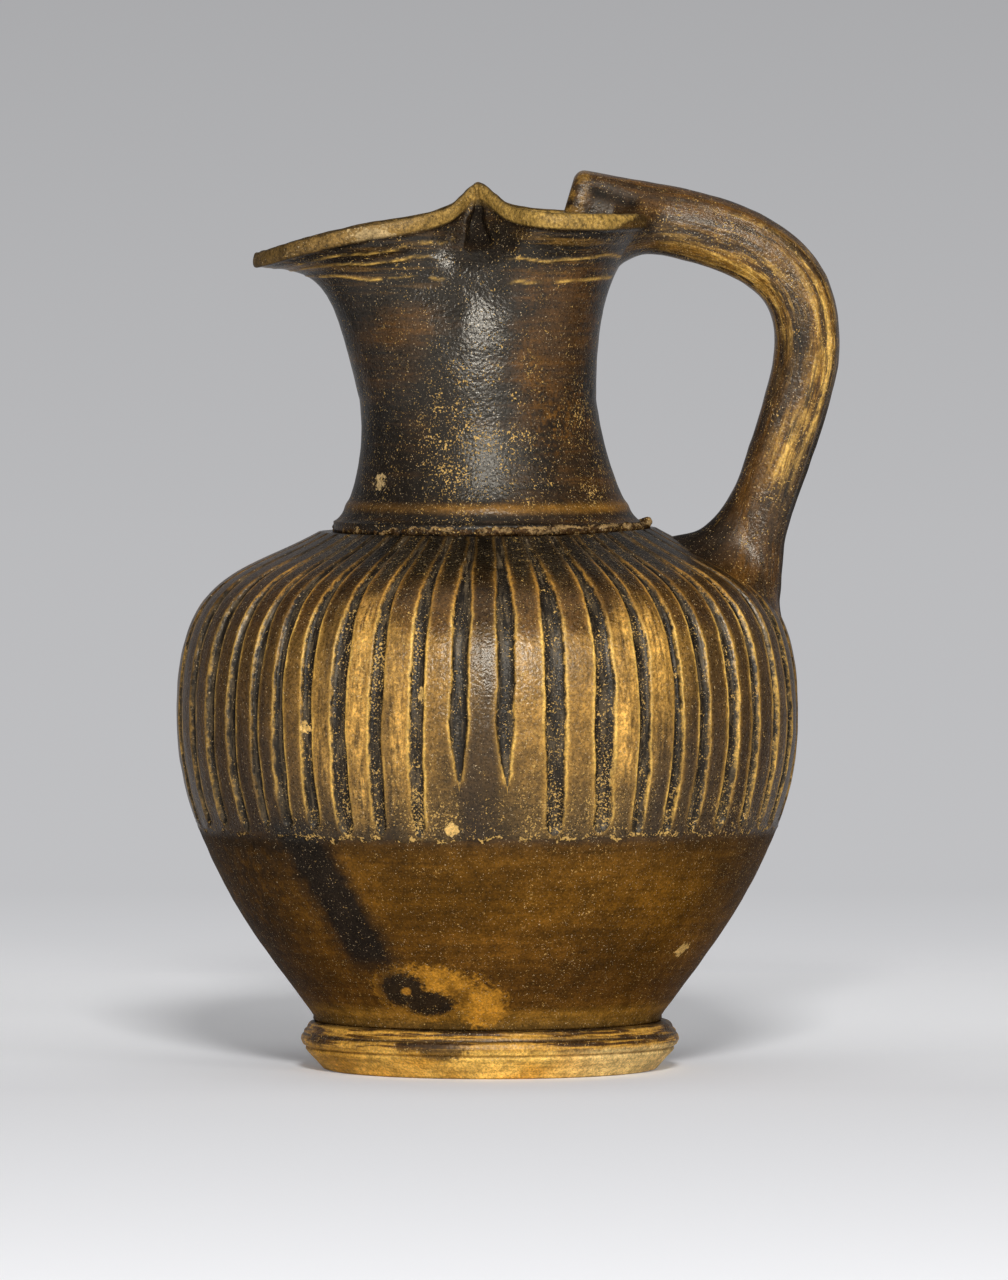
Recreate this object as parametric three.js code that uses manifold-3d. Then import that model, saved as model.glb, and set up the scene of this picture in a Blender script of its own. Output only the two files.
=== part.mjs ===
// A wheel-made pouring jug in dark glossed clay: ring foot, ribbed round body, a raised ring at the
// base of the neck, a mouth pinched to three lobes, and a thick looped handle that sits astride the rim.
// Millimetres, +Z up, spout towards -X, handle towards +X. The origin is the middle of the base of the
// whole jug's box. Shapes are worked out about the wheel's axis first, and the group is shifted last.
import * as THREE from "three";
import { mergeVertices } from "three/addons/utils/BufferGeometryUtils.js";
import Module from "manifold-3d";

const wasm = await Module();
wasm.setup();

// Gap left where two pieces meet on a curved face
const JOINT_GAP = 0.3;

// Ring foot
const FOOT_HEIGHT = 9.7;
const FOOT_CONTACT_RADIUS = 33.2;
const FOOT_FACET_RADIUS = 36.9;
const FOOT_FACET_HEIGHT = 4.2;
const FOOT_GROOVE_DEPTH = 0.35;
const FOOT_GROOVE_WIDTH = 0.9;
const FOOT_WIDEST_RADIUS = 37.8;
const FOOT_WIDEST_HEIGHT = 6.1;
const FOOT_TOP_RADIUS = 35.7;
const FOOT_HOLLOW_RADIUS = 25;
const FOOT_HOLLOW_TOP_RADIUS = 22;

// Body
const BODY_BASE_RADIUS = 34.9;
const BODY_STEM_HEIGHT = 1.1;
const BODY_RADIUS = 62;
const BODY_WIDEST_HEIGHT = 71;
const BODY_WALL = 4;
const FLOOR_THICKNESS = 5;
const UNDERSIDE_DROP = 2;
const SHOULDER_HEIGHT = 107.5;
const SHOULDER_RADIUS = 33.5;
const LOWER_WALL_LEAN = THREE.MathUtils.degToRad(31.8);
const SHOULDER_SLOPE = THREE.MathUtils.degToRad(29.2);

// How far each end of a wall's curve pulls it straight, as a share of the curve's height or width
const LOWER_PULL = [0.165, 0.49];
const UPPER_PULL = [0.8, 0.62];

// Flutes: grooves cut down the shoulder and the body, with flat ribs between them
const FLUTE_COUNT = 45;
const FLUTE_FOOT_HEIGHT = 48;
const FLUTE_END_LENGTH = 5;
const GROOVE_DEPTH = 0.9;
const GROOVE_SHARE = 0.4;

// Raised ring at the base of the neck
const RING_HEIGHT = 2;
const RING_WIDTH = 1.9;

// Neck: it is thrown a little out of true, and leans towards the spout at the throat
const NECK_BASE_RADIUS = 30.8;
const NECK_BASE_LEAN = THREE.MathUtils.degToRad(70);
const BASE_PULL = 3.2;
const SEAT_OVER_RING = 0.1;
const NECK_WALL = 3.6;
const NECK_LEAN = THREE.MathUtils.degToRad(6.9);
const THROAT_HEIGHT = 134;
const THROAT_RADIUS = 23.6;
const THROAT_SHIFT = -1.9;
const WAIST_IN = 3;
const WAIST_DROP = 4;

// Flare above the throat: the shares of its height that it climbs straight up first, and that it runs
// straight out at the lip, at the back and at the spout. The spread is how far it leans out on its climb.
const FLARE_CLIMB = 0.74;
const FLARE_SPREAD = 2.6;
const BACK_PULL = 0.12;
const SPOUT_PULL = 0.58;

// Mouth: heights are those of the lip's lower edge, and rises are the flare's slopes there in degrees
const LIP_HEIGHT = 3.1;
const LIP_LEAN_IN = 0.2;
const LIP_LEAST_WALL = 0.6;
const LIP_WALL_SHARE = 0.8;
const INNER_PULL_SHARE = 0.9;
const SPOUT_REACH = 46.7;
const SPOUT_HEIGHT = 160;
const BACK_REACH = 32.7;
const BACK_HEIGHT = 168.1;
const LOBE_WIDTH = 28.5;
const SPOUT_WIDTH = 21.5;
const PINCH_X = -1.9;
const PINCH_WIDTH = 12.5;
const PINCH_HEIGHT = 174.2;
const BACK_RISE = 45;
const PINCH_RISE = 100;
const SPOUT_RISE = -5;

// Handle: its centre line lies in the plane of the jug's axis
const ARCH_THICKNESS = 14.1;
const ROOT_THICKNESS = 11.9;
const HANDLE_WIDTH = 14.8;
const HANDLE_SLOPE = THREE.MathUtils.degToRad(9);
const HANDLE_OVER_RIM = -1;
const STUB_LENGTH = 17.2;
const STUB_SLANT = THREE.MathUtils.degToRad(11);
const HANDLE_REACH = 64;
const HANDLE_REACH_HEIGHT = 146;
const ROOT_DROP = 17;
const KNEE_DROP = 2.5;
const ROOT_DEPTH = 6;
const ROOT_LEAN = THREE.MathUtils.degToRad(3);

// The root swells over this length: sideways, and much more towards the neck, where it flows into
// the shoulder
const ROOT_SWELL_LENGTH = 27.5;
const ROOT_SPREAD = 0.7;
const ROOT_FLOW = 12;

// Shares of the handle's reach or fall that each end of its two curves pulls straight
const ARCH_PULL = [0.71, 0.55];
const FALL_PULL = [0.28, 0.2];

const TURN = 2 * Math.PI;
const point = (r, z) => new THREE.Vector2(r, z);
const between = THREE.MathUtils.lerp;

// Points on a curve between two of its parameters, both ends included
function stretch(curve, from, to, steps) {
  return Array.from({ length: steps + 1 }, (_, i) => curve.getPoint(from + ((to - from) * i) / steps));
}

// The parameter at which a rising curve reaches a height
function parameterAt(curve, height) {
  let [low, high] = [0, 1];
  for (let i = 0; i < 40; i++) {
    const middle = (low + high) / 2;
    if (curve.getPoint(middle).y < height) low = middle;
    else high = middle;
  }
  return (low + high) / 2;
}

// A closed surface through rings with equal counts of points. An open end is closed with a fan to its
// centre; without ends the last ring joins the first.
function skin(rings, ends) {
  const around = rings[0].length;
  const points = rings.flat();
  const faces = [];
  const rows = ends ? rings.length - 1 : rings.length;
  for (let row = 0; row < rows; row++) {
    for (let i = 0; i < around; i++) {
      const next = (row + 1) % rings.length;
      const j = (i + 1) % around;
      const [a, b, c, d] = [row * around + i, row * around + j, next * around + j, next * around + i];
      faces.push(a, b, c, a, c, d);
    }
  }
  if (ends) {
    const last = (rings.length - 1) * around;
    points.push(ends[0], ends[1]);
    for (let i = 0; i < around; i++) {
      const j = (i + 1) % around;
      faces.push(points.length - 2, j, i, points.length - 1, last + i, last + j);
    }
  }
  const geometry = new THREE.BufferGeometry().setFromPoints(points);
  geometry.setIndex(faces);
  return geometry;
}

// A turned solid from its closed outline of radius and height, listed with the solid on the left
function turned(outline, segments) {
  const closed = outline[0].x === 0 ? outline : [...outline, outline[0].clone()];
  return new THREE.LatheGeometry(closed, segments).rotateX(Math.PI / 2);
}

function toSolid(geometry) {
  const bare = geometry.clone();
  bare.deleteAttribute("normal");
  bare.deleteAttribute("uv");
  const merged = mergeVertices(bare, 1e-4);
  const mesh = new wasm.Mesh({
    numProp: 3,
    vertProperties: merged.attributes.position.array,
    triVerts: new Uint32Array(merged.index.array),
  });
  return new wasm.Manifold(mesh);
}

function toGeometry(solid) {
  const { vertProperties, triVerts } = solid.getMesh();
  const geometry = new THREE.BufferGeometry();
  geometry.setAttribute("position", new THREE.BufferAttribute(vertProperties, 3));
  geometry.setIndex(new THREE.BufferAttribute(triVerts, 1));
  return geometry;
}

// Body walls: the lower one from the stem up to the widest point, the upper one on to the shoulder
function lowerWall(grow) {
  const start = point(BODY_BASE_RADIUS + grow, FOOT_HEIGHT + BODY_STEM_HEIGHT);
  const end = point(BODY_RADIUS + grow, BODY_WIDEST_HEIGHT);
  const rise = end.y - start.y;
  const pull = rise * LOWER_PULL[0];
  const lean = point(Math.sin(LOWER_WALL_LEAN), Math.cos(LOWER_WALL_LEAN));
  const leaving = start.clone().addScaledVector(lean, pull);
  const arriving = point(end.x, end.y - rise * LOWER_PULL[1]);
  return new THREE.CubicBezierCurve(start, leaving, arriving, end);
}

function upperWall(grow) {
  const start = point(BODY_RADIUS + grow, BODY_WIDEST_HEIGHT);
  const end = point(SHOULDER_RADIUS, SHOULDER_HEIGHT + grow);
  const pull = (start.x - end.x) * UPPER_PULL[1];
  const leaving = point(start.x, start.y + (end.y - start.y) * UPPER_PULL[0]);
  const arriving = point(end.x + pull * Math.cos(SHOULDER_SLOPE), end.y - pull * Math.sin(SHOULDER_SLOPE));
  return new THREE.CubicBezierCurve(start, leaving, arriving, end);
}

function bodyRadiusAt(height) {
  const wall = height < BODY_WIDEST_HEIGHT ? lowerWall(0) : upperWall(0);
  return wall.getPoint(parameterAt(wall, height)).x;
}

// One ring of the body, with three points to a flute: both edges of the groove and its bottom
function flutedRing(p, depth) {
  const pitch = TURN / FLUTE_COUNT;
  const half = (pitch * GROOVE_SHARE) / 2;
  const ring = [];
  for (let i = 0; i < FLUTE_COUNT; i++) {
    const middle = (i + 0.5) * pitch - TURN / 4;
    for (const [turn, radius] of [[-half, p.x], [0, p.x - depth], [half, p.x]]) {
      const angle = middle + turn;
      ring.push(new THREE.Vector3(radius * Math.cos(angle), radius * Math.sin(angle), p.y));
    }
  }
  return ring;
}

function grooveDepthAt(height) {
  const up = THREE.MathUtils.clamp((height - FLUTE_FOOT_HEIGHT) / FLUTE_END_LENGTH, 0, 1);
  const down = THREE.MathUtils.clamp((SHOULDER_HEIGHT - height) / RING_HEIGHT, 0, 1);
  return GROOVE_DEPTH * Math.min(up, down);
}

function bodyGeometry() {
  const low = lowerWall(0);
  const high = upperWall(0);
  const fluteStart = parameterAt(low, FLUTE_FOOT_HEIGHT);
  const fluteFull = parameterAt(low, FLUTE_FOOT_HEIGHT + FLUTE_END_LENGTH);
  const outline = [
    point(FOOT_HOLLOW_TOP_RADIUS - JOINT_GAP, FOOT_HEIGHT),
    point(BODY_BASE_RADIUS, FOOT_HEIGHT),
    ...stretch(low, 0, fluteStart, 4),
    ...stretch(low, fluteFull, 1, 2),
    ...stretch(high, 0, 1, 7).slice(1),
  ];
  const rings = outline.map((p) => flutedRing(p, grooveDepthAt(p.y)));
  const underside = new THREE.Vector3(0, 0, FOOT_HEIGHT - UNDERSIDE_DROP);
  const outer = toSolid(skin(rings, [underside, new THREE.Vector3(0, 0, SHOULDER_HEIGHT)]));
  return toGeometry(outer.subtract(toSolid(bodyCavity())));
}

// The hollow of the body, open through the shoulder, by the same curves a wall's thickness inside
function bodyCavity() {
  const floor = FOOT_HEIGHT + FLOOR_THICKNESS;
  const mouth = NECK_BASE_RADIUS - NECK_WALL - 1;
  const inward = point(-BODY_WALL, 0);
  const low = stretch(lowerWall(0), 0, 1, 5).slice(1);
  const high = stretch(upperWall(0), 0, 1, 5).slice(1, -1);
  const outline = [
    point(0, floor),
    point(BODY_BASE_RADIUS - 2.5 * BODY_WALL, floor),
    ...low.map((p) => p.clone().add(inward)),
    ...high.map((p) => point(Math.max(p.x - BODY_WALL, mouth), p.y - BODY_WALL)),
    point(mouth, SHOULDER_HEIGHT - BODY_WALL),
    point(mouth, SHOULDER_HEIGHT + 1),
    point(0, SHOULDER_HEIGHT + 1),
  ];
  return turned(outline, 48);
}

// The foot's edge: a slanting facet, a fine groove, and a bulge over them
function footGeometry() {
  const grooveTop = FOOT_FACET_HEIGHT + FOOT_GROOVE_WIDTH;
  const bulge = new THREE.SplineCurve([
    point((FOOT_FACET_RADIUS + FOOT_WIDEST_RADIUS) / 2, grooveTop),
    point(FOOT_WIDEST_RADIUS, FOOT_WIDEST_HEIGHT),
    point(FOOT_TOP_RADIUS, FOOT_HEIGHT),
  ]);
  const outline = [
    point(FOOT_HOLLOW_RADIUS, 0),
    point(FOOT_CONTACT_RADIUS, 0),
    point(FOOT_FACET_RADIUS, FOOT_FACET_HEIGHT),
    point(FOOT_FACET_RADIUS - FOOT_GROOVE_DEPTH, FOOT_FACET_HEIGHT + FOOT_GROOVE_WIDTH / 2),
    ...stretch(bulge, 0, 1, 7),
    point(FOOT_HOLLOW_TOP_RADIUS, FOOT_HEIGHT),
  ];
  return turned(outline, 60);
}

function ringGeometry() {
  const inner = NECK_BASE_RADIUS + JOINT_GAP;
  const crest = new THREE.EllipseCurve(
    inner + RING_WIDTH / 2, SHOULDER_HEIGHT + RING_HEIGHT / 2, RING_WIDTH / 2, RING_HEIGHT / 2, 0, Math.PI,
  );
  const outline = [
    point(inner, SHOULDER_HEIGHT),
    point(inner + RING_WIDTH, SHOULDER_HEIGHT),
    ...crest.getPoints(6),
  ];
  return turned(outline, 60);
}

// Lip: stations round half of the mouth, from the handle to the spout. Each gives the angle at the
// throat that runs up to it, the lip's lower outer edge, and the rise of the flare there.
const PINCH_LIFT = PINCH_HEIGHT - BACK_HEIGHT;
const SPOUT_DROP = BACK_HEIGHT - SPOUT_HEIGHT;
const station = (angle, x, y, z, rise) => ({ angle, x, y, z, rise });
const towardsPinch = (share) => between(BACK_RISE, PINCH_RISE, share);
const fromSpout = (share) => between(SPOUT_RISE, BACK_RISE, share);
const halfLip = [
  station(0, BACK_REACH, 0, BACK_HEIGHT, BACK_RISE),
  station(24, BACK_REACH * 0.93, LOBE_WIDTH * 0.5, BACK_HEIGHT, BACK_RISE),
  station(47, BACK_REACH * 0.68, LOBE_WIDTH * 0.88, BACK_HEIGHT, BACK_RISE),
  station(67, BACK_REACH * 0.34, LOBE_WIDTH, BACK_HEIGHT + PINCH_LIFT * 0.08, towardsPinch(0.05)),
  station(
    80, PINCH_X + PINCH_WIDTH * 0.48, (LOBE_WIDTH + PINCH_WIDTH) / 2,
    BACK_HEIGHT + PINCH_LIFT * 0.33, towardsPinch(0.35),
  ),
  station(90, PINCH_X, PINCH_WIDTH, PINCH_HEIGHT, PINCH_RISE),
  station(
    100, PINCH_X - PINCH_WIDTH * 0.44, PINCH_WIDTH * 1.4, BACK_HEIGHT + PINCH_LIFT * 0.28, towardsPinch(0.3),
  ),
  station(113, PINCH_X - PINCH_WIDTH * 1.04, SPOUT_WIDTH, SPOUT_HEIGHT + SPOUT_DROP * 0.94, fromSpout(0.94)),
  station(131, SPOUT_REACH * -0.56, SPOUT_WIDTH, SPOUT_HEIGHT + SPOUT_DROP * 0.69, fromSpout(0.7)),
  station(149, SPOUT_REACH * -0.79, SPOUT_WIDTH * 0.74, SPOUT_HEIGHT + SPOUT_DROP * 0.37, fromSpout(0.4)),
  station(165, SPOUT_REACH * -0.94, SPOUT_WIDTH * 0.4, SPOUT_HEIGHT + SPOUT_DROP * 0.1, fromSpout(0.1)),
  station(180, -SPOUT_REACH, 0, SPOUT_HEIGHT, SPOUT_RISE),
];
const mirrored = halfLip.slice(1, -1).reverse().map((s) => ({ ...s, angle: 360 - s.angle, y: -s.y }));
const lip = [...halfLip, ...mirrored];
const COLUMNS_PER_STATION = 3;

// A smooth closed blend through the stations' values of one kind
function blend(key, place) {
  const count = lip.length;
  const first = Math.floor(place);
  const t = place - first;
  const value = (i) => lip[(i + count) % count][key] + (key === "angle" ? 360 * Math.floor(i / count) : 0);
  const [a, b, c, d] = [-1, 0, 1, 2].map((i) => value(first + i));
  const straight = 2 * b + (c - a) * t;
  const bent = (2 * a - 5 * b + 4 * c - d) * t * t + (3 * b - a - 3 * c + d) * t * t * t;
  return (straight + bent) / 2;
}

// One column of the neck and mouth: its outline from the seat up the outside, over the lip and down
// the inside. Grow makes it that much fatter all over, for cutting the handle clear of it.
function neckColumn(place, grow) {
  const angle = THREE.MathUtils.degToRad(blend("angle", place));
  const spoke = new THREE.Vector3(Math.cos(angle), Math.sin(angle), 0);
  const up = new THREE.Vector3(0, 0, 1);
  const leaning = new THREE.Vector3(-Math.tan(NECK_LEAN), 0, 1);
  const seat = SHOULDER_HEIGHT - grow;
  const landTop = SHOULDER_HEIGHT + RING_HEIGHT + SEAT_OVER_RING;
  const at = (centre, radius, z) => new THREE.Vector3(centre, 0, z).addScaledVector(spoke, radius);
  const curve = (a, b, c, d, steps) => new THREE.CubicBezierCurve3(a, b, c, d).getPoints(steps);

  const rise = THREE.MathUtils.degToRad(blend("rise", place));
  const edge = new THREE.Vector3(blend("x", place), blend("y", place), blend("z", place));
  const outward = new THREE.Vector3(edge.x - PINCH_X, edge.y, 0).normalize();
  const flare = outward.clone().multiplyScalar(Math.cos(rise)).addScaledVector(up, Math.sin(rise));
  const across = outward.clone().multiplyScalar(Math.sin(rise)).addScaledVector(up, -Math.cos(rise));

  const outside = edge.clone().addScaledVector(across, grow).addScaledVector(flare, grow);
  const lipTop = edge.clone().addScaledVector(up, LIP_HEIGHT + grow);
  lipTop.addScaledVector(outward, grow - LIP_LEAN_IN);
  const lipWall = LIP_LEAST_WALL + NECK_WALL * LIP_WALL_SHARE * Math.sin(Math.max(rise, 0)) + 2 * grow;
  const inside = lipTop.clone().addScaledVector(outward, -lipWall);

  const base = at(0, NECK_BASE_RADIUS + grow, landTop);
  const baseLean = up.clone().multiplyScalar(Math.cos(NECK_BASE_LEAN));
  baseLean.addScaledVector(spoke, -Math.sin(NECK_BASE_LEAN));
  const baseLeaving = base.clone().addScaledVector(baseLean, BASE_PULL);
  const throat = at(THROAT_SHIFT, THROAT_RADIUS + grow, THROAT_HEIGHT);
  const throatInner = at(THROAT_SHIFT, THROAT_RADIUS - NECK_WALL - grow, THROAT_HEIGHT);
  const half = (THROAT_HEIGHT - landTop) / 2;
  const height = edge.z - THROAT_HEIGHT;
  const reach = height * between(BACK_PULL, SPOUT_PULL, (1 - Math.cos(angle)) / 2);
  const climb = leaning.clone().multiplyScalar(height * FLARE_CLIMB);
  climb.addScaledVector(spoke, FLARE_SPREAD * Math.cos(angle) ** 2);
  return [
    at(0, NECK_BASE_RADIUS - NECK_WALL - grow, seat),
    at(0, NECK_BASE_RADIUS + grow, seat),
    ...curve(base, baseLeaving, throat.clone().addScaledVector(leaning, -half), throat, 4),
    ...curve(
      throat,
      throat.clone().add(climb),
      outside.clone().addScaledVector(flare, -reach),
      outside,
      7,
    ).slice(1),
    lipTop,
    ...curve(
      inside,
      inside.clone().addScaledVector(flare, -reach * INNER_PULL_SHARE),
      throatInner.clone().add(climb),
      throatInner,
      6,
    ),
    at(0, NECK_BASE_RADIUS - NECK_WALL - grow - WAIST_IN, (THROAT_HEIGHT + landTop) / 2 - WAIST_DROP),
  ];
}

function neckGeometry(grow) {
  const count = lip.length * COLUMNS_PER_STATION;
  const columns = Array.from({ length: count }, (_, i) => neckColumn(i / COLUMNS_PER_STATION, grow));
  return skin(columns[0].map((_, row) => columns.map((column) => column[row])));
}

// Handle: the centre line runs from the squared end over the mouth, across the rim, round and down
// into the shoulder
function handlePath() {
  const rim = point(BACK_REACH, BACK_HEIGHT + LIP_HEIGHT + HANDLE_OVER_RIM);
  const along = point(Math.cos(HANDLE_SLOPE), -Math.sin(HANDLE_SLOPE));
  const outermost = point(HANDLE_REACH, HANDLE_REACH_HEIGHT);
  const rootHeight = SHOULDER_HEIGHT - ROOT_DROP;
  const root = point(bodyRadiusAt(rootHeight) - ROOT_DEPTH, rootHeight);
  const rising = point(Math.sin(ROOT_LEAN), Math.cos(ROOT_LEAN));
  const knee = root.clone().addScaledVector(rising, ROOT_DROP - KNEE_DROP);
  const width = outermost.x - rim.x;
  const fall = outermost.y - knee.y;
  const path = new THREE.CurvePath();
  path.add(new THREE.LineCurve(rim.clone().addScaledVector(along, -STUB_LENGTH), rim));
  path.add(new THREE.CubicBezierCurve(
    rim,
    rim.clone().addScaledVector(along, width * ARCH_PULL[0]),
    outermost.clone().add(point(0, (rim.y - outermost.y) * ARCH_PULL[1])),
    outermost,
  ));
  path.add(new THREE.CubicBezierCurve(
    outermost,
    outermost.clone().add(point(0, -fall * FALL_PULL[0])),
    knee.clone().addScaledVector(rising, fall * FALL_PULL[1]),
    knee,
  ));
  path.add(new THREE.LineCurve(knee, root));
  return path;
}

// The section is nearly round. Near the root it swells, and the end over the mouth is cut on a slant.
function handleGeometry() {
  const path = handlePath();
  const length = path.getLength();
  const steps = 36;
  const sides = 16;
  const rings = [];
  const centres = [];
  for (let i = 0; i <= steps; i++) {
    const centre = path.getPointAt(i / steps);
    const along = path.getTangentAt(i / steps);
    const left = length * (1 - i / steps);
    const near = THREE.MathUtils.clamp(1 - left / ROOT_SWELL_LENGTH, 0, 1);
    const spread = 1 + ROOT_SPREAD * near ** 2;
    const flow = 1 + ROOT_FLOW * near ** 3;
    const thickness = between(ARCH_THICKNESS, ROOT_THICKNESS, i / steps);
    const slant = i === 0 ? Math.tan(STUB_SLANT) : 0;
    const ring = [];
    for (let j = 0; j < sides; j++) {
      const angle = (j / sides) * TURN;
      const inner = Math.cos(angle);
      const thick = (inner * (inner > 0 ? flow : 1) * thickness) / 2;
      const wide = (Math.sin(angle) * spread * HANDLE_WIDTH) / 2;
      const x = centre.x + along.y * thick - along.x * thick * slant;
      ring.push(new THREE.Vector3(x, wide, centre.y - along.x * thick - along.y * thick * slant));
    }
    rings.push(ring);
    centres.push(new THREE.Vector3(centre.x, 0, centre.y));
  }
  const rod = toSolid(skin(rings, [centres[0], centres[steps]]));
  const shoulder = [
    point(0, FOOT_HEIGHT),
    ...stretch(lowerWall(JOINT_GAP), 0, 1, 6),
    ...stretch(upperWall(JOINT_GAP), 0, 1, 14).slice(1),
    point(0, SHOULDER_HEIGHT + JOINT_GAP),
  ];
  const cut = rod.subtract(toSolid(turned(shoulder, 90))).subtract(toSolid(neckGeometry(JOINT_GAP)));
  return toGeometry(cut);
}

function finish(color, roughness) {
  return new THREE.MeshStandardMaterial({ color, roughness, metalness: 0 });
}

function piece(name, geometry, material) {
  geometry.computeVertexNormals();
  const mesh = new THREE.Mesh(geometry, material);
  mesh.name = name;
  return mesh;
}

const jug = new THREE.Group();
jug.add(
  piece("foot", footGeometry(), finish(0x9a6f35, 0.6)),
  piece("body", bodyGeometry(), finish(0x4a2c12, 0.4)),
  piece("neck_ring", ringGeometry(), finish(0x6b4a22, 0.8)),
  piece("neck_and_mouth", neckGeometry(0), finish(0x241c16, 0.4)),
  piece("handle", handleGeometry(), finish(0x3a2412, 0.4)),
);
const box = new THREE.Box3().setFromObject(jug);
jug.position.x = -(box.min.x + box.max.x) / 2;

const part = new THREE.Group();
part.add(jug);

export default part;
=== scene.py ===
"""A wheel-made pouring jug in fired clay with a worn, dark gloss, and a plain studio round it.

Shapes are worked out in millimetres about the wheel's axis, spout towards -X and handle towards +X,
and are moved to the frame, in metres, when a mesh is made. Angles round the jug are measured from the
side that faces the camera, and grow towards the handle.
"""

import math

import bpy
import numpy as np
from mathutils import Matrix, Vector
from mathutils.bvhtree import BVHTree


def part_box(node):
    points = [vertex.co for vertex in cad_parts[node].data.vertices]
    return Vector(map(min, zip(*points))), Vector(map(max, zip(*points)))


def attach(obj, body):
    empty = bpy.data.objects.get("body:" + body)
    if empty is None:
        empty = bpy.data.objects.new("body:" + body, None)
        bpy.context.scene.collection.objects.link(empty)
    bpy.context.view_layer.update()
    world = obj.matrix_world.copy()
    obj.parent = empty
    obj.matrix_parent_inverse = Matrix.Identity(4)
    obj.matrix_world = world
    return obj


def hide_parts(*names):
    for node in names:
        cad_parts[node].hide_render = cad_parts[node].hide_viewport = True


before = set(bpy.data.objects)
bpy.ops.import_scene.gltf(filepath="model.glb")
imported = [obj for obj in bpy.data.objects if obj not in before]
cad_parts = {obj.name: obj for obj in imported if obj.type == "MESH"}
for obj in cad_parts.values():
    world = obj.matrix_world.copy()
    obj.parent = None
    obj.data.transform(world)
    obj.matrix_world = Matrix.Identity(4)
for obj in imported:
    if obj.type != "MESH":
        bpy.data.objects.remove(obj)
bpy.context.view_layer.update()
MM = 0.001


def size_of(node):
    """The lowest and highest corners of a solid, in millimetres."""
    low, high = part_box(node)
    return np.array(low) / MM, np.array(high) / MM


foot_low, foot_high = size_of("foot")
neck_low, neck_high = size_of("neck_and_mouth")
body_high, ring_high, handle_high = (size_of(node)[1] for node in ("body", "neck_ring", "handle"))

# Sizes read from the solids
AXIS_X = (foot_low[0] + foot_high[0]) / 2
FOOT_HEIGHT = foot_high[2]
FOOT_RADIUS = foot_high[1]
BODY_RADIUS = body_high[1]
SHOULDER_HEIGHT = body_high[2]
RING_TOP = ring_high[2]
NECK_BASE_RADIUS = neck_high[1]
SPOUT_REACH = AXIS_X - neck_low[0]
BACK_REACH = neck_high[0] - AXIS_X
PINCH_TOP = neck_high[2]
HANDLE_OUTER = handle_high[0] - AXIS_X

# Sizes that the boxes of the solids don't give
FOOT_CONTACT_RADIUS = 33.2
FOOT_FACET_RADIUS = 36.9
FOOT_FACET_HEIGHT = 4.2
FOOT_WIDEST_HEIGHT = 6.1
FOOT_TOP_RADIUS = 35.7
FOOT_HOLLOW_RADIUS = 25.0
FOOT_HOLLOW_TOP_RADIUS = 22.0
BODY_BASE_RADIUS = 34.9
BODY_STEM_HEIGHT = 1.1
BODY_WIDEST_HEIGHT = 71.0
BODY_WALL = 4.0
FLOOR_THICKNESS = 5.0
UNDERSIDE_DROP = 2.0
SHOULDER_RADIUS = 33.5
LOWER_WALL_LEAN = math.radians(31.8)
SHOULDER_SLOPE = math.radians(29.2)
LOWER_PULL = (0.165, 0.49)
UPPER_PULL = (0.8, 0.62)
NECK_BASE_LEAN = math.radians(70)
BASE_PULL = 3.2
NECK_LEAN = math.radians(6.9)
NECK_WALL = 3.6
THROAT_HEIGHT = 134.0
THROAT_RADIUS = 23.6
THROAT_SHIFT = -1.9
FLARE_CLIMB = 0.74
FLARE_SPREAD = 2.6
BACK_PULL = 0.12
SPOUT_PULL = 0.58
LIP_HEIGHT = 3.1
SPOUT_HEIGHT = 160.0
BACK_HEIGHT = 168.1
LOBE_WIDTH = 28.5
SPOUT_WIDTH = 21.5
PINCH_X = -1.9
PINCH_WIDTH = 12.5
ARCH_THICKNESS = 14.1
ROOT_THICKNESS = 11.9
HANDLE_WIDTH = 14.8

TURN = 2 * math.pi


def bump(x, centre, width):
    return np.exp(-(((x - centre) / width) ** 2))


def ramp(x, low, high):
    """From 0 at low to 1 at high, with soft ends."""
    t = np.clip((x - low) / (high - low), 0, 1)
    return t * t * (3 - 2 * t)


def stacked(*parts):
    """Values side by side along a new last axis, such as the x, y and z of points."""
    return np.stack(np.broadcast_arrays(*parts), axis=-1)


def softened(values, axis):
    """Each value of a closed row of them, averaged with its two neighbours."""
    return (np.roll(values, 1, axis) + 2 * values + np.roll(values, -1, axis)) / 4


def bezier(a, b, c, d, t):
    """Points on a cubic curve; the four ends may each be a whole row of points."""
    t = np.reshape(t, (-1,) + (1,) * np.ndim(a))
    s = 1 - t
    return s**3 * a + 3 * s * s * t * b + 3 * s * t * t * c + t**3 * d


def travelled(line):
    """Distance along a line of points."""
    return np.concatenate([[0], np.cumsum(np.hypot(*np.diff(line, axis=0).T))])


def placed(line, wanted):
    """The points of a line at the distances wanted along it."""
    travel = travelled(line)
    return stacked(*(np.interp(wanted, travel, line[:, k]) for k in (0, 1)))


def crowded(places, weight, shares):
    """Places at shares of the way along a row of places, closer together where the weight is more."""
    order = np.cumsum(weight) - weight[0]
    return np.interp(shares * order[-1], order, places)


class Lattice:
    """Smooth seeded noise in space, between -1 and 1."""

    SIZE = 32

    def __init__(self, seed):
        self.values = np.random.default_rng(seed).uniform(-1, 1, (self.SIZE,) * 3)

    def at(self, points, cell):
        place = np.asarray(points, float) / cell
        first = np.floor(place).astype(int)
        share = place - first
        share = share * share * (3 - 2 * share)
        total = np.zeros(place.shape[:-1])
        for corner in np.ndindex(2, 2, 2):
            index = (first + corner) % self.SIZE
            weight = np.prod(np.where(np.array(corner) == 1, share, 1 - share), axis=-1)
            total += weight * self.values[index[..., 0], index[..., 1], index[..., 2]]
        return total

    def along(self, values, cell):
        """The same noise on a line."""
        return self.at(stacked(0, 0, values), cell)


lumps = Lattice(11)
grit = Lattice(23)


# Meshes


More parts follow.
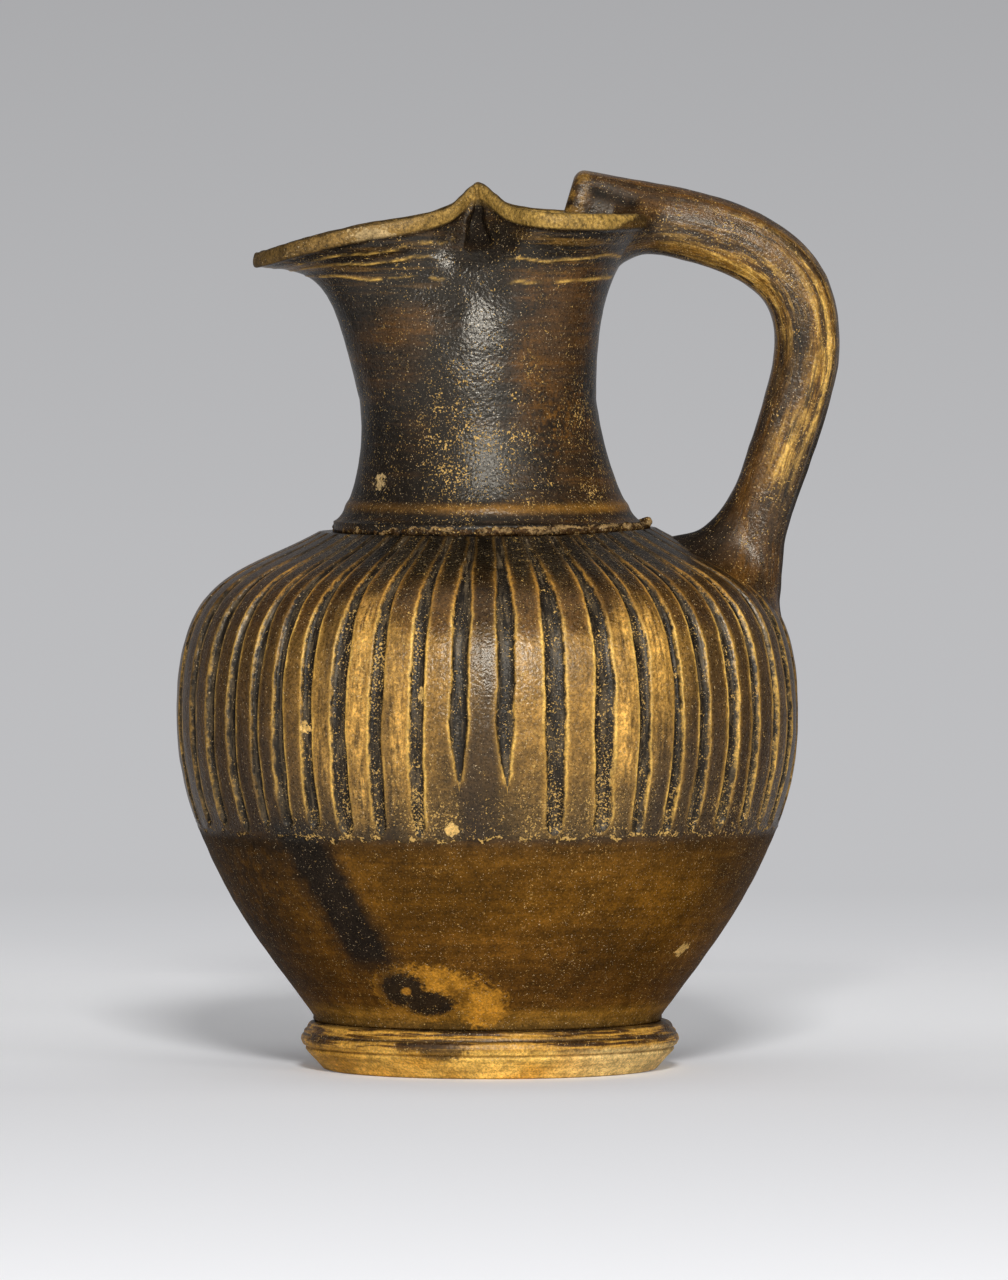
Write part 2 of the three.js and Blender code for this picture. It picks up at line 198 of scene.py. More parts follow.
def add_mesh(name, places, faces):
    """A smooth piece from corners in metres and faces."""
    mesh = bpy.data.meshes.new(name)
    mesh.from_pydata(places, [], faces)
    mesh.polygons.foreach_set("use_smooth", np.ones(len(faces), bool))
    mesh.update()
    piece = bpy.data.objects.new(name, mesh)
    bpy.context.scene.collection.objects.link(piece)
    return piece


def quads_of(points, closed):
    """The faces of a grid, rows by columns round the piece. Closed, its last row joins its first."""
    index = np.arange(points[..., 0].size).reshape(points.shape[:2])
    across = np.roll(index, -1, axis=1)
    quads = stacked(index, across, np.roll(across, -1, axis=0), np.roll(index, -1, axis=0))
    return (quads if closed else quads[:-1]).reshape(-1, 4).tolist()


def make_piece(name, points, caps=None, marks=None):
    """A piece from a grid of points in millimetres about the axis, closed or with two points as caps.

    Marks are named values or vectors, one for each point of the grid, which the materials read.
    """
    faces = quads_of(points, caps is None)
    places = points.reshape(-1, 3)
    if caps is not None:
        columns, first = points.shape[1], len(places)
        top = first - columns
        places = np.vstack([places, caps])
        turned = [(k + 1) % columns for k in range(columns)]
        faces += [(first, turned[k], k) for k in range(columns)]
        faces += [(first + 1, top + k, top + turned[k]) for k in range(columns)]
    piece = add_mesh(name, ((places + (AXIS_X, 0, 0)) * MM).tolist(), faces)
    for key, values in (marks or {}).items():
        width = 3 if np.ndim(values) == 3 else 1
        layer = piece.data.attributes.new(key, "FLOAT_VECTOR" if width == 3 else "FLOAT", "POINT")
        flat = np.zeros(len(places) * width, np.float32)
        shape = points.shape if width == 3 else points.shape[:2]
        flat[: points[..., 0].size * width] = np.broadcast_to(values, shape).reshape(-1)
        layer.data.foreach_set("vector" if width == 3 else "value", flat)
    return piece


def tree_of(points, closed=True):
    """A search tree over a grid, for finding the nearest point of its surface."""
    return BVHTree.FromPolygons(points.reshape(-1, 3).tolist(), quads_of(points, closed))


def spun(radius, height, angle):
    """A grid of points from radii, heights and angles."""
    return stacked(radius * np.sin(angle), -radius * np.cos(angle), height)


# Body


def body_outline(count, crowding=0.0):
    """Radius, height and travel of the body's outside, crowded at the flutes' ends."""
    base = np.array([BODY_BASE_RADIUS, FOOT_HEIGHT + BODY_STEM_HEIGHT])
    widest = np.array([BODY_RADIUS, BODY_WIDEST_HEIGHT])
    top = np.array([SHOULDER_RADIUS, SHOULDER_HEIGHT])
    rise, fall = widest - base, top - widest
    lean = np.array([math.sin(LOWER_WALL_LEAN), math.cos(LOWER_WALL_LEAN)])
    slope = np.array([math.cos(SHOULDER_SLOPE), -math.sin(SHOULDER_SLOPE)])
    t = np.linspace(0, 1, 400)
    leaving, arriving = base + lean * rise[1] * LOWER_PULL[0], widest - (0, rise[1] * LOWER_PULL[1])
    low = bezier(base, leaving, arriving, widest, t)
    leaving, arriving = widest + (0, fall[1] * UPPER_PULL[0]), top - slope * fall[0] * UPPER_PULL[1]
    line = np.vstack([low, bezier(widest, leaving, arriving, top, t)[1:]])
    travel = travelled(line)
    weight = np.gradient(travel) * (1 + crowding * bump(line[:, 1], FLUTE_FOOT + 0.5, 3.2))
    wanted = crowded(travel, weight, np.linspace(0, 1, count))
    radius, height = placed(line, wanted).T
    return radius[:, None], height[:, None], wanted[:, None]


FLUTE_COUNT = 45
GROOVE_SHARE = 0.38
GROOVE_DEPTH = 0.95
FLUTE_FOOT = 49.4
# The two grooves by the middle taper to a point higher up
SHORT_GROOVES = (0, FLUTE_COUNT - 1)
SHORT_END = 58.6
SHORT_TAPER = 13.0
# Places of the grid's columns across a groove, in its widths, and across the rib after it
GROOVE_PLACES = np.array([-0.5, -0.45, -0.38, -0.2, 0, 0.2, 0.38, 0.45, 0.5])
RIB_PLACES = np.array([0.04, 0.12, 0.3, 0.5, 0.7, 0.88, 0.96])


def flute_angle(place):
    """The angle of a place counted in flutes: they crowd towards the spout and spread by the middle."""
    even = (place * 360 / FLUTE_COUNT + 179.25) % 360 - 180
    drift = 6.3 * bump(even, -68, 28) + 2.9 * bump(even, 25, 13) + 2 * bump(even, 120, 25)
    return np.radians(even + drift)


def outside_of(side, end):
    """Distance out of a groove from those past its side and past its end, less than 0 within."""
    return np.where(np.maximum(side, end) < 0, np.maximum(side, end),
                    np.hypot(np.maximum(side, 0), np.maximum(end, 0)))


def body_grid():
    """The body's outside with its hand-cut flutes, then down the inside to the floor."""
    radius, height, travel = body_outline(118, 2.4)
    random = np.random.default_rng(5)
    groove = np.arange(FLUTE_COUNT)
    share = GROOVE_SHARE * random.uniform(0.84, 1.16, FLUTE_COUNT)
    deep = GROOVE_DEPTH * random.uniform(0.8, 1.15, FLUTE_COUNT)
    shift = random.uniform(-0.05, 0.05, FLUTE_COUNT)
    foot = FLUTE_FOOT + random.uniform(-0.7, 0.7, FLUTE_COUNT)
    short = np.isin(groove, SHORT_GROOVES)
    foot = np.where(short, SHORT_END, foot)
    taper = np.where(short, np.clip((height - SHORT_END) / SHORT_TAPER, 0.02, 1) ** 0.7, 1.0)

    seeds = stacked(7.3 * groove, height, 0)
    wander, breath = lumps.at(seeds, 17), lumps.at(seeds + 50, 8)
    centre = groove + 0.5 + shift + 0.05 * wander + 0.02 * lumps.at(seeds + 90, 5)
    width = share * (1 + 0.22 * breath) * taper * (1 - 0.35 * ramp(height, 90, 105))
    start = centre + width / 2
    finish = np.roll(centre - width / 2, -1, axis=1) + FLUTE_COUNT * (groove == FLUTE_COUNT - 1)
    rib = (finish - start)[..., None]
    width = width[..., None]

    def across(in_groove, on_rib):
        return np.concatenate([in_groove, on_rib], axis=-1)

    place = across(centre[..., None] + GROOVE_PLACES * width, start[..., None] + RIB_PLACES * rib)
    pitch = (radius * TURN / FLUTE_COUNT)[..., None]
    off = across(GROOVE_PLACES, 0.5 + 0 * RIB_PLACES)
    own_side = across((np.abs(GROOVE_PLACES) - 0.5) * width, RIB_PLACES * rib) * pitch
    next_side = across(99 + 0 * GROOVE_PLACES * width, (1 - RIB_PLACES) * rib) * pitch
    round_end = 1.7 * np.abs(2 * off) ** 2.5
    own_end = foot[:, None] + round_end - height[..., None]
    next_end = np.roll(foot, -1)[:, None] + 1.7 - height[..., None]
    rim = np.minimum(outside_of(own_side, own_end), outside_of(next_side, next_end + 0 * next_side))

    hollow = np.clip(1 - np.abs(2 * off) ** 4, 0, 1) ** 0.8
    lines = 0.07 * np.cos(off * TURN * 2.6 + 3 * wander[..., None]) * (np.abs(off) < 0.42)
    depth = (deep * taper * (0.9 + 0.2 * wander))[..., None]
    cut = depth * ramp(-own_end, 0, 1.8) * (hollow + lines)
    crown = across(0 * GROOVE_PLACES, 0.68 * RIB_PLACES * (1 - RIB_PLACES)) * ramp(height, 48, 62)[..., None]

    def flat(values):
        return np.broadcast_to(values, place.shape).reshape(len(height), -1)

    place, rim, cut, crown = (flat(v) for v in (place, rim, cut, crown))
    angle = flute_angle(place)
    near = spun(radius, height, angle)
    scallop = 0.8 * np.abs(np.sin(place * math.pi)) + 0.6 * lumps.at(near, 6) + 0.3 * grit.at(near, 1.7)
    low = height - (FLUTE_FOOT - 1.4 + scallop)
    fluted = ramp(low, -0.3, 0.3)
    burr = 0.13 * fluted * bump(rim, 0.28, 0.3)
    crust = 0.2 * bump(low, 0.35, 0.6) * np.maximum(grit.at(near, 1.1), 0)
    wheel = 0.05 * lumps.along(height, 1.7) * (1 - fluted)
    dents = 0.16 * lumps.at(near, 14) + (0.045 + 0.04 * fluted) * grit.at(near, 2.6)
    out = radius + burr + crust + 0.1 * fluted + crown + wheel + dents * ramp(height, 10.5, 16)
    out = out - cut * ramp(SHOULDER_HEIGHT + 1 - height, 0, 3)
    tilt = 0.8 * ramp(height, 100, SHOULDER_HEIGHT) * ramp(np.sin(angle), 0.3, 1)
    outside = spun(out, height + tilt, angle)
    even = place * TURN / FLUTE_COUNT
    lay = stacked(50 * np.sin(even), -50 * np.cos(even), 0.12 * travel)

    under = np.stack([
        spun(r, z, angle[0])
        for r, z in (
            (6.0, FOOT_HEIGHT - UNDERSIDE_DROP), (14.0, FOOT_HEIGHT - UNDERSIDE_DROP + 0.5),
            (FOOT_HOLLOW_TOP_RADIUS - 0.3, FOOT_HEIGHT), (BODY_BASE_RADIUS - 0.4, FOOT_HEIGHT),
            (BODY_BASE_RADIUS, FOOT_HEIGHT + 0.4),
        )
    ])
    hidden = inner_body(angle[-1])

    def filled(values, blank):
        ends = ((len(under), len(hidden)),) + ((0, 0),) * (np.ndim(values) - 1)
        return np.pad(values, ends, constant_values=blank)

    marks = {"rim": filled(rim, 6), "low": filled(low, -30), "lay": filled(lay, 0)}
    return np.concatenate([under, outside, hidden]), marks


def inner_body(angle):
    radius, height, _ = body_outline(14)
    top = NECK_BASE_RADIUS - NECK_WALL - 1
    floor = FOOT_HEIGHT + FLOOR_THICKNESS
    rows = [(top, SHOULDER_HEIGHT)]
    for r, z in zip(radius[::-1, 0], height[::-1, 0]):
        if z > BODY_WIDEST_HEIGHT:
            rows.append((max(r - BODY_WALL, top), z - BODY_WALL))
        elif z > floor + 4:
            rows.append((r - BODY_WALL, z))
    rows += [(BODY_BASE_RADIUS - 2.5 * BODY_WALL, floor), (10.0, floor)]
    return np.stack([spun(r, z, angle) for r, z in rows])


def make_body():
    points, marks = body_grid()
    caps = [(0, 0, FOOT_HEIGHT - UNDERSIDE_DROP - 0.1), (0, 0, FOOT_HEIGHT + FLOOR_THICKNESS)]
    return make_piece("glossed_body", points, caps, marks)


# Foot


def make_foot():
    knots = np.array([
        (FOOT_CONTACT_RADIUS - 0.6, 0.0), (FOOT_CONTACT_RADIUS + 0.2, 0.2),
        (FOOT_FACET_RADIUS - 0.3, FOOT_FACET_HEIGHT - 0.5), (FOOT_FACET_RADIUS, FOOT_FACET_HEIGHT),
        (FOOT_FACET_RADIUS - 0.2, FOOT_FACET_HEIGHT + 0.45), (FOOT_RADIUS - 0.5, FOOT_FACET_HEIGHT + 0.9),
        (FOOT_RADIUS, FOOT_WIDEST_HEIGHT), (FOOT_RADIUS - 0.3, 7.2), (FOOT_TOP_RADIUS + 1.0, 8.5),
        (FOOT_TOP_RADIUS + 0.3, FOOT_HEIGHT - 0.3), (FOOT_TOP_RADIUS - 0.7, FOOT_HEIGHT),
    ])
    hollow = [(FOOT_HOLLOW_TOP_RADIUS, FOOT_HEIGHT), (FOOT_HOLLOW_RADIUS - 0.6, 1.0), (FOOT_HOLLOW_RADIUS, 0)]
    rows = np.vstack([hollow, placed(knots, np.linspace(0, travelled(knots)[-1], 56))])
    angle = np.radians(np.linspace(0, 360, 600, endpoint=False))
    radius, height = rows[:, :1], rows[:, 1:]
    place = spun(radius, height, angle)
    seen = ramp(radius, 30, 33) * ramp(height, 0.1, 1.2)
    sway = 0.25 * np.sin(angle * 2 + 1)
    line = 0.3 * bump(height, 7.5 + sway, 0.3) + 0.2 * bump(height, 8.6 + sway, 0.25)
    wheel = 0.07 * lumps.along(height + sway, 0.6) * ramp(height, 4, 6)
    rough = 0.14 * lumps.at(place, 9) + 0.06 * grit.at(place, 2.3) + 0.05 * grit.at(place, 0.9)
    points = spun(radius + seen * (rough + wheel - line), height, angle) + (0.5, 0, 0)
    return make_piece("turned_foot", points, None, {"groove": bump(height, 7.5 + sway, 0.35) * seen})


# Ring at the base of the neck


def make_ring():
    columns, rows = 900, 22
    angle = np.radians(np.linspace(0, 360, columns, endpoint=False))
    turn = np.radians(np.linspace(-90, 270, rows, endpoint=False))[:, None]
    middle = NECK_BASE_RADIUS - 0.4
    half_width = 1.0
    half_height = (RING_TOP - SHOULDER_HEIGHT) / 2
    thick = 1 + 0.3 * lumps.at(spun(30, 0, angle), 5.0)
    radius = middle + half_width * np.cos(turn) * thick
    height = SHOULDER_HEIGHT + half_height * thick * (0.55 + np.sin(turn)) + 0.3 * (1 + np.sin(angle))
    place = spun(radius, height, angle)
    crust = 0.28 * grit.at(place, 1.6) + 0.25 * grit.at(place + 40, 0.75) + 0.16 * grit.at(place + 9, 0.45)
    knob = 1.0 * bump(angle, np.radians(86), 0.04) * ramp(np.sin(turn), -0.6, 0.4)
    points = spun(radius + np.cos(turn) * crust + knob, height + np.sin(turn) * crust + knob * 0.6, angle)
    points[..., 0] += 0.7
    return make_piece("raised_ring", points, None, {"crust": 0.5 + crust})


# Neck and mouth

PINCH_HEIGHT = PINCH_TOP - LIP_HEIGHT
PINCH_LIFT = PINCH_HEIGHT - BACK_HEIGHT
SPOUT_DROP = BACK_HEIGHT - SPOUT_HEIGHT
BACK_RISE, PINCH_RISE, SPOUT_RISE = 45.0, 100.0, -5.0


def between(a, b, share):
    return a + (b - a) * share


def towards_pinch(share):
    return between(BACK_RISE, PINCH_RISE, share)


def from_spout(share):
    return between(SPOUT_RISE, BACK_RISE, share)


# Stations round half the lip, from the handle to the spout: the angle at the throat that runs up to
# it, the lip's lower outer edge in x, y and z, and the rise of the flare there, in degrees.
HALF_LIP = [
    (0, BACK_REACH, 0, BACK_HEIGHT, BACK_RISE),
    (24, BACK_REACH * 0.93, LOBE_WIDTH * 0.5, BACK_HEIGHT, BACK_RISE),
    (47, BACK_REACH * 0.68, LOBE_WIDTH * 0.88, BACK_HEIGHT, BACK_RISE),
    (67, BACK_REACH * 0.34, LOBE_WIDTH, BACK_HEIGHT + PINCH_LIFT * 0.08, towards_pinch(0.05)),
    (80, PINCH_X + PINCH_WIDTH * 0.48, (LOBE_WIDTH + PINCH_WIDTH) / 2, BACK_HEIGHT + PINCH_LIFT * 0.33,
     towards_pinch(0.35)),
    (90, PINCH_X, PINCH_WIDTH, PINCH_HEIGHT, PINCH_RISE),
    (100, PINCH_X - PINCH_WIDTH * 0.44, PINCH_WIDTH * 1.4, BACK_HEIGHT + PINCH_LIFT * 0.28,
     towards_pinch(0.3)),
    (113, PINCH_X - PINCH_WIDTH * 1.04, SPOUT_WIDTH, SPOUT_HEIGHT + SPOUT_DROP * 0.94, from_spout(0.94)),
    (131, SPOUT_REACH * -0.56, SPOUT_WIDTH, SPOUT_HEIGHT + SPOUT_DROP * 0.69, from_spout(0.7)),
    (149, SPOUT_REACH * -0.79, SPOUT_WIDTH * 0.74, SPOUT_HEIGHT + SPOUT_DROP * 0.37, from_spout(0.4)),
    (165, SPOUT_REACH * -0.94, SPOUT_WIDTH * 0.4, SPOUT_HEIGHT + SPOUT_DROP * 0.1, from_spout(0.1)),
    (180, -SPOUT_REACH, 0, SPOUT_HEIGHT, SPOUT_RISE),
]
LIP = np.array(HALF_LIP + [(360 - a, x, -y, z, r) for a, x, y, z, r in HALF_LIP[-2:0:-1]], float)
PINCH_STATIONS = (5, len(LIP) - 5)


def blend(values, place):
    """A smooth closed blend through values, one at each whole place."""
    count = len(values)
    first = np.floor(place).astype(int)
    t = place - first
    a, b, c, d = (values[(first + k) % count] for k in (-1, 0, 1, 2))
    return (2 * b + (c - a) * t + (2 * a - 5 * b + 4 * c - d) * t**2 + (3 * b - a - 3 * c + d) * t**3) / 2


def unit(vectors):
    return vectors / np.linalg.norm(vectors, axis=-1, keepdims=True)


def lip_places(count):
    """Places round the lip in stations, crowded at both pinches."""
    even = np.linspace(0, len(LIP), 4001)
    weight = 1 + sum(2.6 * bump(even, s, 0.8) for s in PINCH_STATIONS)
    return crowded(even, weight, np.arange(count) / count)


def smoothed(values, place, width):
    """Values round the lip, each replaced by the mean over a width in stations."""
    gap = (place[:, None] - place[None, :] + len(LIP) / 2) % len(LIP) - len(LIP) / 2
    weight = np.exp(-((gap / width) ** 2)) * np.gradient(place)[None, :]
    return (weight @ values) / weight.sum(axis=1, keepdims=True)


def neck_grid(place):
    """The neck's outside from its seat up, over the lip and down the inside, and where its parts start."""
    station_even = np.arange(len(LIP)) * 360 / len(LIP)
    angle = np.radians(place * 360 / len(LIP) + blend(LIP[:, 0] - station_even, place))
    edge = stacked(*(blend(LIP[:, k], place) for k in (1, 2, 3)))
    rise = np.radians(blend(LIP[:, 4], place))[:, None]
    spoke = stacked(np.cos(angle), np.sin(angle), 0)
    up = np.array([0, 0, 1.0])
    leaning = np.array([-math.tan(NECK_LEAN), 0, 1.0])
    outward = unit((edge - (PINCH_X, 0, 0)) * (1, 1, 0))
    flare = outward * np.cos(rise) + up * np.sin(rise)

    def at(centre, radius, z):
        return spoke * radius + (centre, 0, z)

    land = RING_TOP + 0.1
    base = at(0, NECK_BASE_RADIUS, land)
    base_leaving = base + BASE_PULL * (up * math.cos(NECK_BASE_LEAN) - spoke * math.sin(NECK_BASE_LEAN))
    throat = at(THROAT_SHIFT, THROAT_RADIUS, THROAT_HEIGHT)
    throat_inner = at(THROAT_SHIFT, THROAT_RADIUS - NECK_WALL, THROAT_HEIGHT)
    half = (THROAT_HEIGHT - land) / 2
    height = edge[:, 2:] - THROAT_HEIGHT
    turn = np.cos(angle)[:, None]
    climb = leaning * height * FLARE_CLIMB + spoke * FLARE_SPREAD * turn**2
    reach = height * between(BACK_PULL, SPOUT_PULL, (1 - turn) / 2)
    lip_top = edge + up * LIP_HEIGHT - outward * 0.2
    inside = lip_top - outward * (0.6 + NECK_WALL * 0.8 * np.sin(np.maximum(rise, 0)))
    arriving = smoothed(edge - flare * reach, place, 0.55)
    arriving_inner = smoothed(inside - flare * reach * 0.9, place, 0.55)

    def steps(count):
        return np.linspace(0, 1, count, endpoint=False)

    def line(a, b, count):
        return a + (b - a) * steps(count)[:, None, None]

    seat_inner = at(0, NECK_BASE_RADIUS - NECK_WALL, SHOULDER_HEIGHT)
    seat_outer = at(0, NECK_BASE_RADIUS, SHOULDER_HEIGHT)
    low_inner = at(0, NECK_BASE_RADIUS - NECK_WALL - 3, (THROAT_HEIGHT + land) / 2 - 4)
    parts = [
        line(seat_inner, seat_outer, 2),
        line(seat_outer, base, 3),
        bezier(base, base_leaving, throat - leaning * half, throat, steps(40)),
        bezier(throat, throat + climb, arriving, edge, steps(64)),
        line(edge, lip_top, 12),
        line(lip_top, inside, 8),
        bezier(inside, arriving_inner, throat_inner + climb, throat_inner, steps(36)),
        line(throat_inner, low_inner, 8),
        line(low_inner, seat_inner, 8),
    ]
    return np.concatenate(parts), np.cumsum([0] + [len(part) for part in parts])


def round_rows(points, first, last, times):
    """Softens the corners along the columns between two rows."""
    rows = np.arange(len(points))
    share = (ramp(rows, first - 6, first) * ramp(-rows, -last - 6, -last))[:, None, None]
    for _ in range(times):
        points = points + share * (softened(points, 0) - points)
    return points


def normals_of(points):
    """Unit normals of a closed grid, pointing out of the clay."""
    along = np.roll(points, -1, axis=0) - np.roll(points, 1, axis=0)
    around = np.roll(points, -1, axis=1) - np.roll(points, 1, axis=1)
    cross = np.cross(around, along)
    return cross / np.maximum(np.linalg.norm(cross, axis=-1, keepdims=True), 1e-9)


def fill_dips(rows, share):
    """Fills the dips of rows of points round the neck, by a share, up to a line that curves one way."""
    for row, part in zip(rows, share):
        for side in (-1, 1):
            half = np.flatnonzero(row[:, 1] * side > 0)
            half = half[np.argsort(row[half, 0])]
            line = []
            for x, y in zip(row[half, 0], row[half, 1] * side):
                while len(line) > 1:
                    (x0, y0), (x1, y1) = line[-2:]
                    if (x1 - x0) * (y - y0) < (y1 - y0) * (x - x0):
                        break
                    line.pop()
                line.append((x, y))
            full = np.interp(row[half, 0], *np.transpose(line)) * side
            row[half, 1] += part[half] * (full - row[half, 1])


# Heights over which the filling of the dips beside the pinches starts and ends
DIPS_START = (138, 146)
DIPS_END = (157, 169)
# Drops below the lip, in millimetres, of the turned lines on the spout's side and on the handle's
SPOUT_LINES = (3.4, 6.4, 10.4)
HANDLE_LINES = (8.0, 13.2)


def pinch_crease(points):
    """How far each point is pushed in by the crease under each pinch, and how deep in it lies."""
    x, y, z = np.moveaxis(points, -1, 0)
    below = PINCH_HEIGHT - z
    across = np.abs(x - PINCH_X + 0.25 * np.sin(z * 0.9))
    half = 0.42 + 0.24 * np.clip(below, 0, 9)
    deep = 0.45 + 2.1 * ramp(below, 0, 5)
    deep = deep * (1 - ramp(below, 7.8, 11)) * (np.abs(y) < 19) * ramp(z, 155, 158)
    within = 1 - ramp(across, half * 0.75, half * 1.1 + 0.3)
    return deep * within, within * (1 - ramp(below, 8.6, 10.4)) * (np.abs(y) < 19)


def make_neck():
    place = lip_places(520)
    points, ends = neck_grid(place)
    points = round_rows(points, ends[4], ends[6], 8)
    flare = points[ends[3]:ends[4]]
    fill_dips(flare, ramp(flare[..., 2], *DIPS_START) * (1 - ramp(flare[..., 2], *DIPS_END)))
    for row in flare:
        share = bump(row[:, :1], PINCH_X, 9) * ramp(row[:, 2:], *DIPS_START)
        row += share * (smoothed(row, place, 0.5) - row)
    rows = np.arange(len(points))[:, None]
    steps = np.linalg.norm(np.diff(points, axis=0), axis=-1)
    travel = np.concatenate([0 * steps[:1], np.cumsum(steps, axis=0)])
    drop = travel[ends[4]] - travel
    crease, slit = pinch_crease(points)
    points[..., 1] -= np.sign(points[..., 1]) * crease
    normal = normals_of(points)
    x = points[..., 0]
    outer = ramp(rows, ends[2], ends[2] + 4) * ramp(-rows, -ends[6], -ends[6] + 4)
    wall = ramp(drop, 0, 0.8)
    sway = drop + 0.5 * np.sin(x * 0.35) + 0.3 * lumps.along(x, 3)
    lines = sum(bump(sway, d, 0.24) for d in SPOUT_LINES) * ramp(-x, 6, 10)
    lines = lines + sum(bump(sway, d, 0.24) for d in HANDLE_LINES) * ramp(x, 3, 7)
    on_rim = (rows >= ends[3] + 30) & (rows < ends[6])
    lines = lines * on_rim * wall
    wheel = 0.025 * lumps.along(points[..., 2], 1.3) + 0.035 * grit.along(drop, 0.8) * on_rim
    ledge = 0.3 * bump(drop, -1.6, 1.3) - 0.25 * bump(drop, 0.9, 0.7) * (1 - slit)
    dents = 0.2 * lumps.at(points, 13) + 0.05 * grit.at(points, 2.9)
    on_lip = ramp(-drop, -0.2, 0.3) * ramp(-rows, -ends[6] - 4, -ends[6])
    chipped = bump(x, -23, 5) * ramp(-points[..., 1], 5, 8) * bump(drop, -0.8, 1.6) * on_rim
    chips = 0.13 * grit.at(points, 1.9) * on_lip - 0.7 * chipped * (0.7 + 0.5 * grit.at(points, 1.5))
    band = 0.25 * bump(points[..., 2], 112.8, 0.9) * (rows < ends[4])
    relief = outer * (dents + wall * (wheel + band) + 0.16 * lines + ledge * on_rim) + chips
    points = points + normal * relief[..., None]
    # The slit mark is where the neck's material paints shade into the crease
    marks = {
        "drop": np.where(on_rim, drop, 40), "lines": lines, "slit": slit * (rows < ends[5]), "lip": on_lip,
        "inside": ramp(rows, ends[6] - 2, ends[6] + 6),
    }
    return make_piece("pinched_neck", points, None, marks), points


# Handle

STUB_LENGTH = 17.2
STUB_SLANT = math.tan(math.radians(6))
HANDLE_SLOPE = math.radians(9)
HANDLE_REACH_HEIGHT = 146.0
KNEE = np.array([53.3, 105.0])
ROOT_LENGTH = 14.5
ROOT_LEAN = math.radians(3)


def handle_line(count):
    """The handle's centre line in x and z, evenly spaced, with its direction and its travel."""
    rim = np.array([BACK_REACH, BACK_HEIGHT + LIP_HEIGHT - 1])
    along = np.array([math.cos(HANDLE_SLOPE), -math.sin(HANDLE_SLOPE)])
    outermost = np.array([HANDLE_OUTER - (ARCH_THICKNESS + ROOT_THICKNESS) / 4, HANDLE_REACH_HEIGHT])
    rising = np.array([math.sin(ROOT_LEAN), math.cos(ROOT_LEAN)])
    root = KNEE - rising * ROOT_LENGTH
    width, fall = outermost[0] - rim[0], outermost[1] - KNEE[1]
    t = np.linspace(0, 1, 200)
    rise = rim[1] - outermost[1]
    arch = bezier(rim, rim + along * width * 0.71, outermost + (0, rise * 0.55), outermost, t)
    drop = bezier(outermost, outermost - (0, fall * 0.28), KNEE + rising * fall * 0.2, KNEE, t)
    line = np.vstack([rim - along * STUB_LENGTH, arch, drop[1:], root])
    travel = np.linspace(0, travelled(line)[-1], count)
    line = placed(line, travel)
    return line, unit(np.gradient(line, axis=0)), travel


def depth_below(tree, point):
    """Distance to a surface, less than 0 inside it."""
    place, normal, _, distance = tree.find_nearest(point)
    return distance if (Vector(point) - place).dot(normal) >= 0 else -distance


def soft_union(a, b, size):
    overlap = max(size - abs(a - b), 0) / size
    return min(a, b) - overlap * overlap * size / 4


def swell_into(tree, sink, centre, direction, radius, size, most):
    """How far out from the centre the handle's surface lies, where it flows into another piece."""

    def outside(s):
        away = s - radius
        return soft_union(away, depth_below(tree, centre + direction * s) + 0.1 + sink * away, size) > 0

    if outside(radius + 0.02):
        return radius
    # The first way out, found in small steps and then by halving
    low = radius
    for high in np.arange(radius + 0.4, radius + most, 0.4):
        if outside(high):
            break
        low = high
    else:
        return high
    for _ in range(5):
        middle = (low + high) / 2
        if outside(middle):
            high = middle
        else:
            low = middle
    return high


